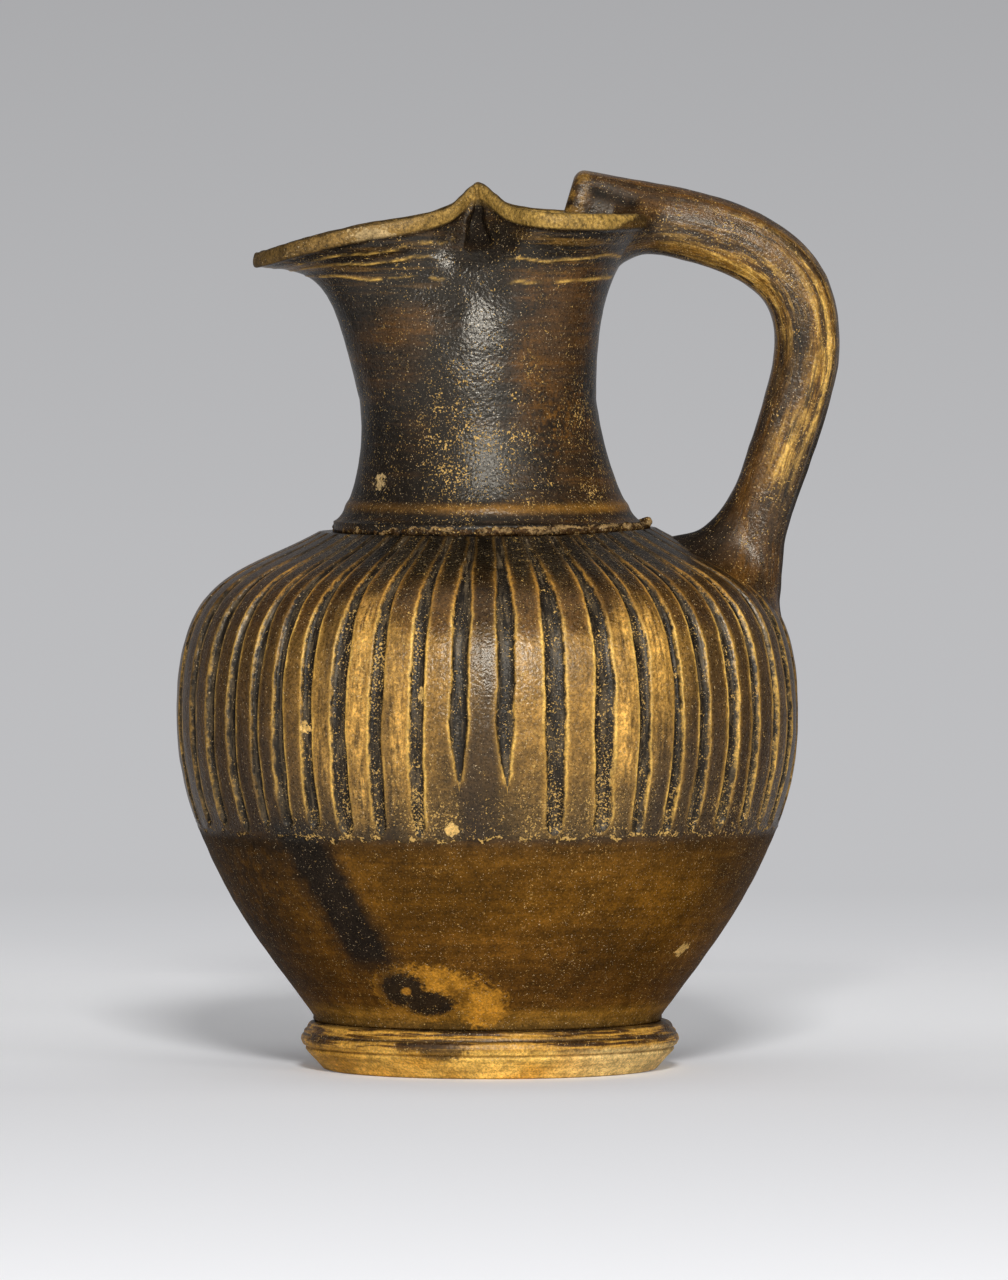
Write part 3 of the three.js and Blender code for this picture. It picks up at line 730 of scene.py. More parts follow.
def make_handle(neck_points):
    along_count, around_count = 420, 128
    line, tangent, travel = handle_line(along_count)
    left = travel[-1] - travel
    turn = np.linspace(0, TURN, around_count, endpoint=False)
    round_end = np.sqrt(np.clip(1 - (1 - np.clip(travel / 2.4, 0, 1)) ** 2, 0.02, 1))
    flow = np.clip(1 - left / 24, 0, 1)[:, None] ** 2
    # The section is nearly round along the arch and squarer at its end over the mouth
    power = (2.3 + 1.5 * ramp(-travel, -14, -4))[:, None]
    cos, sin = np.cos(turn), np.sin(turn)
    spread = (1 + 0.3 * flow * (1 - ramp(cos, 0, 1)) - 0.05 * flow) * (0.74 + 0.26 * round_end[:, None])
    thickness = between(ARCH_THICKNESS, ROOT_THICKNESS, travel / travel[-1])[:, None]
    thickness = thickness + 0.9 * bump(travel, 36, 12)[:, None] * (cos < 0)
    thick = np.sign(cos) * np.abs(cos) ** (2 / power) * thickness / 2
    wide = np.sign(sin) * np.abs(sin) ** (2 / power) * HANDLE_WIDTH / 2
    # Angle 0 is the outer back of the handle, and the far side comes next
    back = stacked(-tangent[:, 1], 0, tangent[:, 0])[:, None]
    forward = stacked(tangent[:, 0], 0, tangent[:, 1])[:, None]
    side = np.array([0, 1.0, 0])
    slant = STUB_SLANT * np.clip(1 - travel / 9, 0, 1)[:, None] * thick
    offset = (back * thick[..., None] + side * wide[..., None]) * spread[..., None]
    offset = offset + forward * slant[..., None]
    radius = np.linalg.norm(offset, axis=-1)
    direction = offset / radius[..., None]
    centre = stacked(line[:, 0], 0, line[:, 1])

    shaft = ramp(travel, 18, 30)[:, None] * ramp(left, 15, 30)[:, None]
    wave = np.cos(turn * 9 + 1.2 * lumps.along(travel, 17)[:, None])
    radius = radius + shaft * (0.3 * bump(np.abs(np.angle(np.exp(1j * turn))), 0.75, 0.2) + 0.07 * wave)

    neck_tree = tree_of(neck_points[::3, ::3])
    ring_radius, ring_height, _ = body_outline(60)
    body_points = spun(ring_radius, ring_height, np.radians(np.linspace(0, 360, 180, endpoint=False)))
    body_tree = tree_of(body_points, closed=False)
    for i in range(along_count):
        if 10 < travel[i] < 44:
            tree, sink, most = neck_tree, 0.05, 8.0
            sizes = 6.0 + 0 * cos
        elif left[i] < 34:
            tree, sink, most = body_tree, 0.08, 14.0
            sizes = 7.4 - 5.5 * cos + 6.6 * np.maximum(-cos, 0) ** 2
        else:
            continue
        for j in range(around_count):
            radius[i, j] = swell_into(tree, sink, centre[i], direction[i, j], radius[i, j], sizes[j], most)
    for _ in range(3):
        radius = softened(radius, 1)
        radius[1:-1] = (radius[:-2] + 2 * radius[1:-1] + radius[2:]) / 4

    points = centre[:, None, :] + direction * radius[..., None]
    rough = 0.17 * lumps.at(points, 10) + 0.07 * grit.at(points, 2.6)
    near = -sin[None, :]
    # A shallow dish in the end, whose shade is also painted through the dark mark
    dish = ramp(-np.abs(travel[:, None] - 9.3), -6.5, -3.5) * bump(cos, 0.28, 0.3) * (near > 0)
    points = points + direction * (rough - 0.7 * dish)[..., None]
    along = travel[:, None]
    # Lighter marks on the near side, along the arch's underside, over the outer bend and in a smear lower
    # down: partly wear, partly painted highlight
    under = bump(cos, -0.62, 0.5) * bump(along, 41, 17) * ramp(near, -0.2, 0.3)
    bend = bump(cos, 0.5, 0.4) * bump(along, 63, 17) * ramp(near, 0, 0.4)
    smear = bump(cos, 0.1, 0.35) * bump(along, 83, 7) * ramp(near, 0, 0.5)
    # The crest, a light line along the outer face, is partly wear and partly painted highlight
    crest = bump(cos, 0.62 + 0.05 * np.sin(along * 0.2), 0.045)
    # Painted shade on the root's inner side, in the corner against the body, and on the outer back of the
    # lower run
    inner = 0.85 * ramp(-cos, 0.2, 0.8) * ramp(-left[:, None], -25, -15)
    outer = 0.8 * ramp(cos, 0.8, 0.95) * ramp(along, 60, 80)
    # The dark mark is painted shade: the end's dish, the root's inner corner and the outer back
    marks = {
        "worn": np.clip(np.maximum(np.maximum(under, bend), 0.9 * smear), 0, 1),
        "crest": crest * bump(along, 60, 20) * ramp(near, 0, 0.3),
        "dark": np.maximum(np.maximum(dish, inner), outer),
        "lay": stacked(7 * cos, 7 * sin, 0.12 * along)[:, ::-1],
        "end": bump(along, 1.5, 2.5) + 0 * cos,
    }
    for key in ("worn", "crest", "dark", "end"):
        marks[key] = np.broadcast_to(marks[key], radius.shape)[:, ::-1]
    return make_piece("looped_handle", points[:, ::-1], [centre[0], centre[-1]], marks)


# Materials


class Value:
    """An output of a shader node, with which sums and products can be written."""

    def __init__(self, nodes, socket):
        self.nodes, self.socket = nodes, socket

    def __add__(self, other):
        return self.nodes.math("ADD", self, other)

    def __sub__(self, other):
        return self.nodes.math("SUBTRACT", self, other)

    def __rsub__(self, other):
        return self.nodes.math("SUBTRACT", other, self)

    def __mul__(self, other):
        return self.nodes.math("MULTIPLY", self, other)

    def __abs__(self):
        return self.nodes.math("ABSOLUTE", self)

    __radd__, __rmul__ = __add__, __mul__


class Nodes:
    """Short calls that add shader nodes to a material and return their outputs."""

    def __init__(self, material):
        material.use_nodes = True
        self.tree = material.node_tree
        self.tree.nodes.clear()
        # Millimetres about the wheel's axis
        place = self.node("ShaderNodeTexCoord", output="Object")
        self.here = self.vector("MULTIPLY_ADD", place, (1 / MM,) * 3, (-AXIS_X, 0, 0))
        self.x, self.y, self.z = (self.node("ShaderNodeSeparateXYZ", (self.here,), k) for k in range(3))
        self.ragged = self.noise(2.4, 4, rough=0.65)
        self.fine = self.noise(0.9, 3, rough=0.7)

    def node(self, kind, values=(), output=0, **settings):
        """One output of a new node. The values go into its sockets, in order or by the keys given."""
        made = self.tree.nodes.new(kind)
        for key, value in settings.items():
            setattr(made, key, value)
        for key, value in values.items() if isinstance(values, dict) else enumerate(values):
            socket = made.inputs[key]
            if isinstance(value, Value):
                self.tree.links.new(value.socket, socket)
            else:
                socket.default_value = (*value, 1) if socket.type == "RGBA" else value
        return Value(self, made.outputs[output]) if made.outputs else None

    def vector(self, operation, *values):
        output = "Value" if operation == "LENGTH" else "Vector"
        return self.node("ShaderNodeVectorMath", values, output, operation=operation)

    def math(self, operation, *values, clamp=False):
        return self.node("ShaderNodeMath", values, operation=operation, use_clamp=clamp)

    def most(self, total, *others):
        for other in others:
            total = self.math("MAXIMUM", total, other)
        return total

    def ramp(self, value, low, high, out_low=0.0, out_high=1.0, kind="SMOOTHSTEP"):
        values = (value, low, high, out_low, out_high)
        return self.node("ShaderNodeMapRange", values, interpolation_type=kind)

    def band(self, value, centre, width):
        """1 where the value is at the centre, and 0 from the width on to either side."""
        return self.ramp(abs(value - centre), 0, width, 1, 0)

    def mix(self, share, a, b):
        return self.node("ShaderNodeMix", {0: share, 6: a, 7: b}, 2, data_type="RGBA")

    def scaled(self, colour, factor):
        return self.node("ShaderNodeVectorMath", {0: colour, "Scale": factor}, operation="SCALE")

    def colours(self, value, *stops):
        """A colour that changes with a value; each stop is the value and its colour."""
        low, high = stops[0][0], stops[-1][0]
        result = self.node("ShaderNodeValToRGB", (self.ramp(value, low, high, kind="LINEAR"),))
        elements = result.socket.node.color_ramp.elements
        for at, colour in stops[1:-1]:
            elements.new((at - low) / (high - low)).color = (*colour, 1)
        elements[0].color, elements[-1].color = (*stops[0][1], 1), (*stops[-1][1], 1)
        return result

    def mark(self, name, output="Fac"):
        return self.node("ShaderNodeAttribute", output=output, attribute_name=name)

    def lay(self):
        """The piece's own coordinates, shrunk along the direction in which it was worked."""
        return self.mark("lay", "Vector")

    def noise(self, cell, detail=3.0, scale=None, rough=0.5, where=None):
        where = where or self.here
        if scale:
            where = self.vector("MULTIPLY", where, scale)
        values = {"Vector": where, "Scale": 1 / cell, "Detail": detail, "Roughness": rough}
        return self.node("ShaderNodeTexNoise", values, "Fac")

    def flakes(self, density, cell=0.42):
        """Irregular chips, covering more of the surface the higher the density, from 0 to 1."""
        value = self.noise(cell, 3, rough=0.65) * 0.72 + self.ragged * 0.28
        edge = 0.64 - density * 0.16
        return self.ramp(value, edge, edge + 0.02)

    def spot(self, centre, size, ragged=0.0, soft=0.4):
        """1 at a place in millimetres about the axis, 0 beyond its size, with a ragged or soft edge."""
        away = self.vector("DIVIDE", self.vector("SUBTRACT", self.here, centre), size)
        far = self.vector("LENGTH", away)
        if ragged:
            far = far + (self.ragged * 0.6 + self.fine - 0.8) * ragged
        return self.ramp(far, 0.7 - soft / 2, 0.7 + soft / 2, 1, 0)

    def spots(self, *places, ragged=0.0, soft=0.4):
        """Several alike spots, each with its centre and its size."""
        return self.most(*(self.spot(*place, ragged, soft) for place in places))


# Colours as the surface shows them, in linear red, green and blue
BLACK_GLOSS = (0.012, 0.0088, 0.0062)
DARK_BROWN = (0.036, 0.019, 0.008)
BROWN_GLOSS = (0.088, 0.038, 0.008)
ORANGE_BROWN = (0.155, 0.068, 0.011)
GOLD_BROWN = (0.35, 0.18, 0.030)
GOLD_WEAR = (0.74, 0.44, 0.10)
TAN_FLAKE = (0.60, 0.37, 0.11)
OCHRE = (0.36, 0.16, 0.018)


def gloss(n, thin):
    """The gloss's colour: black at 0, through brown, to orange brown at 1."""
    return n.colours(thin, (0, BLACK_GLOSS), (0.3, DARK_BROWN), (0.65, BROWN_GLOSS), (1, ORANGE_BROWN))


def clay(name, look):
    """A material from a look, which returns the colour, how dull it is, the flakes and the relief."""
    material = bpy.data.materials.new(name)
    n = Nodes(material)
    colour, dull, density, relief = look(n)
    grain = n.noise(0.5, 3, rough=0.75)
    small = n.noise(3, 4, rough=0.6)
    pebble = n.noise(0.68, 1)
    colour = n.scaled(colour, n.ramp(grain, 0.3, 0.7, 0.6, 1.46))
    colour = n.scaled(colour, n.ramp(small, 0.3, 0.7, 0.75, 1.25))
    flake = n.flakes(density)
    colour = n.mix(flake, colour, TAN_FLAKE)
    speck = n.ramp(n.noise(0.3, 1), 0.7 - density * 0.04, 0.76)
    colour = n.mix(speck, colour, (0.62, 0.46, 0.26))
    dull = n.math("ADD", dull, flake, clamp=True)
    # The worn gloss has lost the shine that a new one has along its edges
    facing = n.node("ShaderNodeLayerWeight", output="Facing")
    height = pebble * 0.12 + grain * 0.05 + small * 0.1 + relief - flake * 0.05
    bump_map = n.node("ShaderNodeBump", {"Strength": 1, "Distance": MM, "Height": height})
    shader = n.node("ShaderNodeBsdfPrincipled", {
        "Base Color": colour,
        "Roughness": n.ramp(grain, 0.2, 0.8, 0.25, 0.33) + dull * 0.24,
        "Specular IOR Level": (0.48 - dull * 0.38) * n.ramp(facing, 0.08, 0.5, 1, 0.1),
        "Specular Tint": (1, 0.93, 0.80),
        "IOR": 1.5,
        "Normal": bump_map,
    })
    n.node("ShaderNodeOutputMaterial", (shader,))
    return material


# The ribs' colours by height, and those of the smooth wall under them
# The ribs' band from about 65 to 89 is lighter and ends sharply at 89: partly their own colour, partly a
# painted reflection of a lamp's edge
RIB_COLOURS_AND_REFLECTION = (
    (48.5, (0.040, 0.022, 0.006)), (56, (0.070, 0.038, 0.009)), (65, (0.118, 0.061, 0.012)),
    (76, (0.195, 0.100, 0.019)), (89, (0.175, 0.090, 0.018)), (90.6, (0.080, 0.037, 0.008)),
    (96, (0.052, 0.024, 0.005)), (101.5, (0.015, 0.010, 0.005)), (107, (0.010, 0.0075, 0.005)),
)
WALL_COLOURS = (
    (10, (0.075, 0.038, 0.008)), (11.2, (0.15, 0.074, 0.012)), (12.8, (0.22, 0.105, 0.014)),
    (14.6, (0.095, 0.040, 0.005)), (18, (0.075, 0.031, 0.004)), (26, (0.100, 0.041, 0.004)),
    (36, (0.125, 0.052, 0.004)), (44.5, (0.112, 0.048, 0.005)), (48.6, (0.055, 0.026, 0.006)),
)


def body_look(n):
    x, z, low, lay = n.x, n.z, n.mark("low"), n.lay()
    rim = n.mark("rim") + (n.ragged - 0.5) * 1.1 + (n.fine - 0.5) * 0.7
    streak = n.noise(0.8, 4, where=lay, rough=0.65)
    patch = n.noise(9, 3, where=lay)
    # Rib colour by height, with the painted reflection's lighter band up to 89
    rib = n.colours(z + (patch - 0.5) * 9, *RIB_COLOURS_AND_REFLECTION)
    gold = n.spots(((-25, -55, 74), (15, 25, 30)), ((30, -54, 78), (13, 25, 25)))
    rib = n.mix(gold * n.ramp(streak, 0.35, 0.6) * 0.9, rib, (0.48, 0.255, 0.052))
    rib = n.scaled(rib, n.ramp(patch, 0.36, 0.64, 0.55, 1.5) * n.ramp(n.fine, 0.35, 0.65, 0.7, 1.35))
    # Painted shade: the ribs darken towards both sides of the jug, left of x -24 and right of x 32
    rib = n.mix(n.most(n.ramp(x, -24, -46), n.ramp(x, 32, 48)) * 0.85, rib, DARK_BROWN)
    rib = n.mix(n.ramp(patch, 0.5, 0.36) * n.ramp(z, 94, 88) * 0.6, rib, DARK_BROWN)

    groove = n.mix(n.ramp(streak, 0.45, 0.62), BLACK_GLOSS, (0.07, 0.05, 0.028))
    colour = n.mix(n.ramp(rim, -0.2, 0.1), groove, rib)
    glow = n.ramp(rim, 0.0, 1.5, 0.85, 0.0) * n.ramp(rim, -0.1, 0.1)
    strength = n.ramp(z, 104, 98.5, 0.04, 1) * n.ramp(z, 48, 61, 0.25, 1)
    # The glow and lines also fade towards the far left, as painted shade on that side
    strength = strength * n.ramp(x, -56, -24, 0.3, 1) * n.ramp(patch, 0.38, 0.55, 0.45, 1)
    # Above about 89 the edge glow and lines turn browner, at the same step as the painted reflection's edge
    colour = n.mix(glow * strength, colour, n.mix(n.ramp(z, 88, 93), GOLD_BROWN, (0.19, 0.088, 0.016)))
    breaks = n.noise(2.6, 3, where=lay, rough=0.6)
    line = n.band(rim, 0.2, 0.5) * n.ramp(breaks, 0.36, 0.6, 0.12, 1) * n.math("POWER", strength, 0.6)
    line = line * n.ramp(z, 50.5, 54, 0.15, 1)
    colour = n.mix(line, colour, n.mix(n.ramp(z, 90, 97), GOLD_WEAR, (0.44, 0.22, 0.040)))

    wheel = n.noise(1.3, 4, (0.05, 0.05, 1), 0.65)
    cloud = n.noise(16, 3, (0.7, 0.7, 1))
    wall = n.colours(z, *WALL_COLOURS)
    wall = n.scaled(wall, n.ramp(wheel, 0.3, 0.7, 0.75, 1.2) * n.ramp(cloud, 0.35, 0.65, 0.75, 1.2))
    # Painted shade: the smooth wall darkens towards both sides, near black on the left and dark brown on the
    # right
    wall = n.mix(n.ramp(x, -26, -46) * n.ramp(n.ragged, 0.3, 0.6, 0.4, 0.85), wall, (0.02, 0.013, 0.008))
    wall = n.mix(n.ramp(x, 34, 56, 0, 0.6), wall, DARK_BROWN)
    colour = n.mix(n.ramp(low, -0.15, 0.2), wall, colour)

    # A run of black gloss down to the stain above the foot, with its pale halo
    across = (x + 30) * 0.866 + (z - 36.4) * 0.5 + (n.ragged - 0.5) * 4
    run = n.ramp(abs(across), 2.4, 6.6, 1, 0) * n.ramp(z, 19.5, 25) * n.ramp(z, 55, 49)
    colour = n.mix(run * n.ramp(n.y, -12, -20) * 0.97, colour, BLACK_GLOSS)
    halo = n.spots(((-11, -37, 18), (15, 13, 8)), ((-1, -38.5, 14.6), (6.5, 9, 7)), ragged=0.9)
    halo = halo * n.ramp(n.noise(5, 3), 0.3, 0.5, 0.35, 1)
    colour = n.mix(halo * 0.9, colour, (0.5, 0.225, 0.022))
    stain = ((-16.4, -35.7, 18.3), (7.4, 8, 6.4)), ((-12, -36.5, 15.2), (8, 8, 4.2))
    colour = n.mix(n.spots(*stain, ragged=0.7, soft=0.3) * 0.97, colour, BLACK_GLOSS)
    colour = n.mix(n.spot((-16, -35.9, 17.7), (1.4, 3, 1.3), 0.8), colour, OCHRE)
    chips = (
        ((38.2, -23.3, 25.8), (2.6, 3, 2.2), 1.8), ((-6.9, -58, 50.9), (1.8, 4, 1.7), 1.6),
        ((-35.6, -50, 70.4), (1.3, 3, 1.5), 3.4), ((-12.8, -60, 77.4), (1, 3, 1.8), 3.4),
    )
    colour = n.mix(n.most(*(n.spot(*chip, 0.1) for chip in chips)), colour, TAN_FLAKE)

    crust = n.band(low, 0.3, 0.8) * n.ramp(n.ragged, 0.42, 0.6)
    dust = n.ramp(low, 0, 1) * n.ramp(z, 66, 52)
    flaked = n.spots(((-15, -58, 89), (3, 8, 12)), ((-24, -56, 84), (6, 9, 14)), ragged=0.8)
    flaked = n.most(flaked, n.spot((-12, -58, 54), (14, 12, 5), 0.8) * 0.4)
    density = 0.14 + crust * 0.75 + dust * 0.2 + gold * 0.1 + flaked * 0.3
    density = density + n.ramp(rim, 0.4, -0.3) * n.ramp(z, 104, 88) * 0.2
    density = density + (patch - 0.5) * 0.9 - n.ramp(x, -24, -46) * 0.25
    dull = line * 0.5 + crust * 0.8 + n.ramp(rim, 0, -0.3) * 0.5 + n.ramp(z, 49.4, 46.8)
    relief = streak * 0.09 * n.ramp(low, 0, 0.5) + wheel * 0.07 * n.ramp(low, 0.5, 0)
    return colour, dull, density * n.ramp(low, -0.5, 0.3, 0.75, 1), relief


def neck_look(n):
    drop, lines, slit, lip, inside = map(n.mark, ("drop", "lines", "slit", "lip", "inside"))
    x, z = n.x, n.z
    wheel = n.noise(1.1, 4, (0.06, 0.06, 1), 0.65)
    cloud = n.noise(12, 4, (0.45, 0.45, 1.3))
    thin = (cloud - 0.5) * 1.2 + (wheel - 0.5) * 1.2 + 0.06
    for centre, size, share in (
        ((-15, -20, 149), (14, 14, 7), 0.18), ((17, -18, 146), (18, 16, 22), 0.32),
        ((22, -15, 120), (14, 16, 20), 0.28), ((4, -23, 133), (14, 10, 18), 0.2),
    ):
        thin = thin + n.spot(centre, size, 1.6) * share
    colour = gloss(n, thin - n.spot((-3, -24, 138), (12, 14, 42), 0.8) * 0.3 - inside * 0.4)
    band = n.band(z + (n.ragged - 0.5) * 1.2, 112.8, 1.6) * n.ramp(x, -16, -4, 0.35, 1)
    colour = n.mix(band * 0.8, colour, (0.22, 0.1, 0.014))
    lines = lines * n.ramp(n.ragged + (cloud - 0.5) * 1.4, 0.36, 0.66)
    colour = n.mix(lines * 0.8, colour, GOLD_WEAR)
    under = n.ramp(drop, 17, 4) * n.ramp(drop, 0, 1.5) * n.ramp(abs(x + 2), 5, 14)
    colour = n.mix(under * n.ramp(wheel, 0.5, 0.66) * 0.3, colour, GOLD_BROWN)
    # Painted shade: the crease under each pinch is painted black
    colour = n.mix(slit * 0.85, colour, BLACK_GLOSS)

    worn = n.ramp(n.noise(0.9, 3, rough=0.7), 0.32, 0.58, 0.35, 1)
    worn = worn * n.ramp(x, -44, -26, 0.5, 1) * n.ramp(drop, -3.6, -2.4, 0.25, 1)
    smeared = z - ((x - 24) * 0.55 + (n.ragged - 0.5) * 2 + 167.6)
    worn = worn * n.ramp(smeared, -0.5, 0.4, 0.1, 1)
    colour = n.mix(lip * worn, colour, n.mix(n.ramp(x, -30, 10), (0.24, 0.14, 0.04), (0.38, 0.23, 0.055)))
    chip = n.spot((-22.4, -21.8, 166.6), (6.5, 6, 2.6), 2.0, 0.1) * lip
    chip = n.most(chip, n.spot((-21.3, -15, 117.9), (1.5, 4, 2.2), 2.4, 0.1))
    colour = n.mix(chip, colour, (0.42, 0.29, 0.13))

    density = n.ramp(z, 138, 152, 0.2, 0.1) + (n.noise(7, 3) - 0.5) * 0.9
    for centre, size, share in (
        ((-7, -23, 126), (9, 12, 22), 0.33), ((1, -23, 140), (3.5, 6, 3.5), 0.45),
        ((4, -24, 126.5), (7, 7, 6), 0.25), ((20, -14, 124), (7, 8, 22), 0.15),
    ):
        density = density + n.spot(centre, size, 0.8) * share
    density = density + n.ramp(drop, 15, 2) * n.ramp(drop, 0, 1) * 0.12
    dull = lip * 0.7 + lines * 0.5 + slit + chip * 0.5 + n.ramp(z, 136, 124, 0, 0.25)
    relief = wheel * 0.035 + lip * n.noise(0.6, 3, rough=0.7) * 0.12
    return colour, dull, density * (1 - slit * 0.8), relief


def handle_look(n):
    worn, crest, dark, end = map(n.mark, ("worn", "crest", "dark", "end"))
    lay = n.lay()
    streak = n.noise(0.9, 5, where=lay, rough=0.7)
    patch = n.noise(6, 3, where=lay)
    thin = 0.38 + (patch - 0.5) * 2.2 + (streak - 0.5) * 1.4
    colour = gloss(n, thin + worn * 0.5)
    # The worn marks and the crest are partly wear and partly painted highlight
    gold = worn * n.ramp(streak + (patch - 0.5) * 0.4, 0.38, 0.54)
    colour = n.mix(gold, colour, n.mix(n.ramp(streak, 0.5, 0.6), GOLD_BROWN, GOLD_WEAR))
    fine = n.most(crest, n.ramp(streak, 0.64, 0.7) * 0.7)
    colour = n.mix(fine * n.ramp(n.ragged, 0.36, 0.52), colour, GOLD_WEAR)
    shade = n.noise(1.7, 4, (1, 1, 1.1), 0.65, lay)
    colour = n.mix(n.ramp(shade, 0.5, 0.38, 0, 0.9), colour, DARK_BROWN)
    colour = n.mix(n.ramp(end, 0.2, 0.9) * n.ramp(n.ragged, 0.4, 0.6) * 0.5, colour, GOLD_BROWN)
    # Painted shade: the dark mark is painted black gloss
    colour = n.mix(dark * n.ramp(n.ragged, 0.25, 0.5, 0.6, 1), colour, BLACK_GLOSS)
    density = 0.24 + (n.noise(6, 3) - 0.5) * 0.8 + worn * 0.12
    relief = streak * 0.2 + worn * n.ragged * 0.12
    return colour, gold * 0.35 + dark, density * (1 - dark * 0.8), relief


def foot_look(n):
    x, z = n.x, n.z
    wheel = n.noise(0.7, 4, (0.05, 0.05, 1), 0.65)
    cloud = n.noise(10, 3, (1, 1, 1.5))
    stain = n.noise(4, 4, (0.6, 0.6, 1), 0.7)
    upper = gloss(n, 0.82 + (wheel - 0.5) * 2.2 + (cloud - 0.5) * 1.6)
    upper = n.mix(n.ramp(wheel + (cloud - 0.5) * 0.5, 0.42, 0.56), upper, (0.54, 0.28, 0.045))
    facet = n.mix(n.ramp(cloud, 0.35, 0.65), (0.66, 0.34, 0.05), (0.82, 0.50, 0.11))
    facet = n.mix(n.ramp(x, 8, 26, 0, 0.6), facet, (0.82, 0.62, 0.29))
    facet = n.mix(n.ramp(x, -6, -30, 0, 0.7), facet, (0.46, 0.23, 0.035))
    facet = n.scaled(facet, n.ramp(wheel, 0.35, 0.65, 0.8, 1.15))
    facet = n.mix(n.ramp(stain, 0.56, 0.7, 0, 0.5), facet, GOLD_BROWN)
    colour = n.mix(n.ramp(z + (n.ragged - 0.5) * 1.6, 6.4, 5), upper, facet)
    colour = n.mix(n.band(z, 4.65, 0.5) * 0.6, colour, BROWN_GLOSS)
    colour = n.mix(n.mark("groove"), colour, DARK_BROWN)
    colour = n.mix(n.ramp(z, 9.0, 9.6) * 0.7, colour, BLACK_GLOSS)
    colour = n.mix(n.spot((-9, -36, 5.6), (6.5, 8, 2.8), 1.0) * 0.75, colour, DARK_BROWN)
    density = 0.15 + (n.ragged - 0.5) * 0.4
    return colour, n.ramp(z, 6.5, 4.5, 0.3, 0.8), density, wheel * 0.1 + stain * 0.1


def ring_look(n):
    patch = n.noise(2.6, 4, (1, 1, 1.6), 0.65)
    bare = n.ramp(patch + n.mark("crust") * 0.2 + n.band(n.z, 109.3, 0.9) * 0.12, 0.64, 0.74)
    colour = n.mix(bare, gloss(n, patch * 0.8), (0.27, 0.17, 0.07))
    colour = n.mix(n.ramp(n.noise(0.5, 3), 0.42, 0.3), colour, BLACK_GLOSS)
    return colour, 0.9, 0.3, n.noise(0.7, 4, rough=0.7) * 0.25


def dress(piece, node, slot, look):
    piece.data.materials.append(clay(slot, look))
    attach(piece, "root")
    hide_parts(node)


# Studio

# Greys of the paper, by the distance behind the jug in metres, added to six times the height
PAPER_GREYS = (
    (-0.6, 0.84), (-0.22, 0.73), (0.22, 0.66), (0.45, 0.585), (0.65, 0.53), (1.2, 0.518),
    (2.0, 0.505), (3.6, 0.49), (4.5, 0.455), (5.6, 0.403),
)
FLOOR_BACK = 3.6
CURVE_RADIUS = 0.8
PAPER_TOP = 5.0


def make_studio():
    """A pale floor that curves up into a grey backdrop."""
    profile = [(-8.0, 0.0), (FLOOR_BACK, 0.0)]
    for a in np.linspace(0.1, math.pi / 2, 14):
        profile.append((FLOOR_BACK + CURVE_RADIUS * math.sin(a), CURVE_RADIUS * (1 - math.cos(a))))
    profile.append((FLOOR_BACK + CURVE_RADIUS, PAPER_TOP))
    points = [(x, y, z) for y, z in profile for x in (-8, 8)]
    faces = [(2 * i, 2 * i + 1, 2 * i + 3, 2 * i + 2) for i in range(len(profile) - 1)]
    sweep = add_mesh("backdrop", points, faces)
    material = bpy.data.materials.new("pale_paper")
    sweep.data.materials.append(material)
    n = Nodes(material)
    lit = n.node("ShaderNodeBsdfPrincipled", {
        "Base Color": n.colours(n.y, (-60, (0.735, 0.735, 0.75)), (150, (0.97, 0.97, 0.98))),
        "Roughness": 0.9,
        "Specular IOR Level": 0.1,
    })
    # The camera and the gloss see the paper nearer to its even grey, and beyond the shadow only that
    kinds = "Is Camera Ray", "Is Glossy Ray", "Is Transmission Ray"
    camera, glossy, through = (n.node("ShaderNodeLightPath", output=kind) for kind in kinds)
    seen = n.math("MINIMUM", camera + glossy + through, 1)
    lift = n.node("ShaderNodeEmission", ((1, 1.003, 1.03), seen * 0.12))
    near = n.node("ShaderNodeAddShader", (lit, lift))
    away = n.y * MM
    greys = ((at, (g, g * 1.003, g * 1.03)) for at, g in PAPER_GREYS)
    shown = n.node("ShaderNodeEmission", (n.colours(away + n.z * (6 * MM), *greys),))
    side, front = (abs(v * MM) - 0.6 for v in (n.x, n.y))
    even = n.ramp(n.most(away, side, front), 0.24, 0.5)
    n.node("ShaderNodeOutputMaterial", (n.node("ShaderNodeMixShader", (seen * even, near, shown)),))


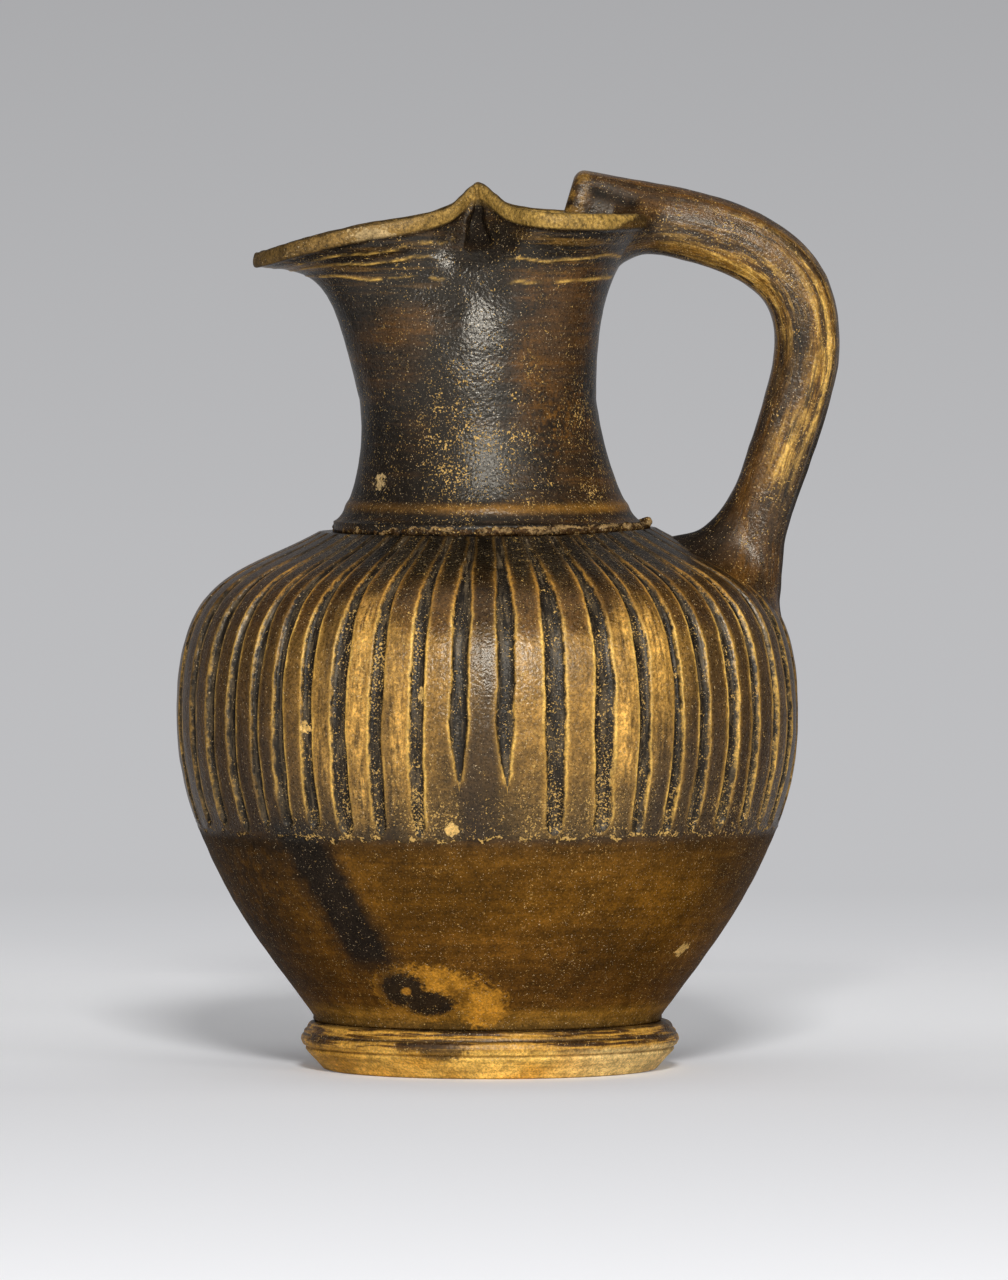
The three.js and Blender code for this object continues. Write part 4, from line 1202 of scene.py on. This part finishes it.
def add_light(name, azimuth, elevation, distance, size, power):
    """A soft lamp that looks at the jug; the azimuth is 0 at the camera and grows towards the handle."""
    middle = Vector((0, 0, 0.1))
    around, up = math.radians(azimuth), math.radians(elevation)
    away = Vector((math.sin(around) * math.cos(up), -math.cos(around) * math.cos(up), math.sin(up)))
    data = bpy.data.lights.new(name, "AREA")
    data.shape = "RECTANGLE"
    data.size, data.size_y = size
    data.energy = power
    light = bpy.data.objects.new(name, data)
    light.location = middle + away * distance
    light.rotation_euler = (-away).to_track_quat("-Z", "Y").to_euler()
    bpy.context.scene.collection.objects.link(light)


def make_lights():
    add_light("key", 2, 24, 2.2, (0.32, 0.32), 40)
    add_light("right", 34, 22, 2.2, (0.6, 0.6), 7)
    add_light("left", -42, 18, 2.2, (0.8, 0.8), 3)
    add_light("top", 0, 88, 1.9, (2.0, 1.5), 7)
    world = bpy.context.scene.world or bpy.data.worlds.new("world")
    bpy.context.scene.world = world
    world.use_nodes = True
    background = world.node_tree.nodes["Background"]
    background.inputs[0].default_value = (0.8, 0.8, 0.82, 1)
    background.inputs[1].default_value = 0.12


def make_camera():
    """The photograph's view: from well back, a little above the rim, with a long lens."""
    distance, eye_height = 3.0, 0.2
    aim = Vector(((AXIS_X + 3.3) * MM, 0, 0.0858))
    shown_height = 0.256
    data = bpy.data.cameras.new("camera")
    data.sensor_fit = "VERTICAL"
    data.sensor_height = 36
    data.sensor_width = 36
    camera = bpy.data.objects.new("camera", data)
    camera.location = (aim.x, -distance, eye_height)
    away = aim - camera.location
    data.lens = 36 * away.length / shown_height
    camera.rotation_euler = away.to_track_quat("-Z", "Y").to_euler()
    bpy.context.scene.collection.objects.link(camera)
    bpy.context.scene.camera = camera


make_camera()
make_studio()
make_lights()
bpy.context.scene.view_settings.view_transform = "Standard"

dress(make_foot(), "foot", "worn_foot", foot_look)
dress(make_body(), "body", "glossed_body", body_look)
dress(make_ring(), "neck_ring", "rough_ring", ring_look)
neck, neck_points = make_neck()
dress(neck, "neck_and_mouth", "dark_neck", neck_look)
dress(make_handle(neck_points), "handle", "glossed_handle", handle_look)
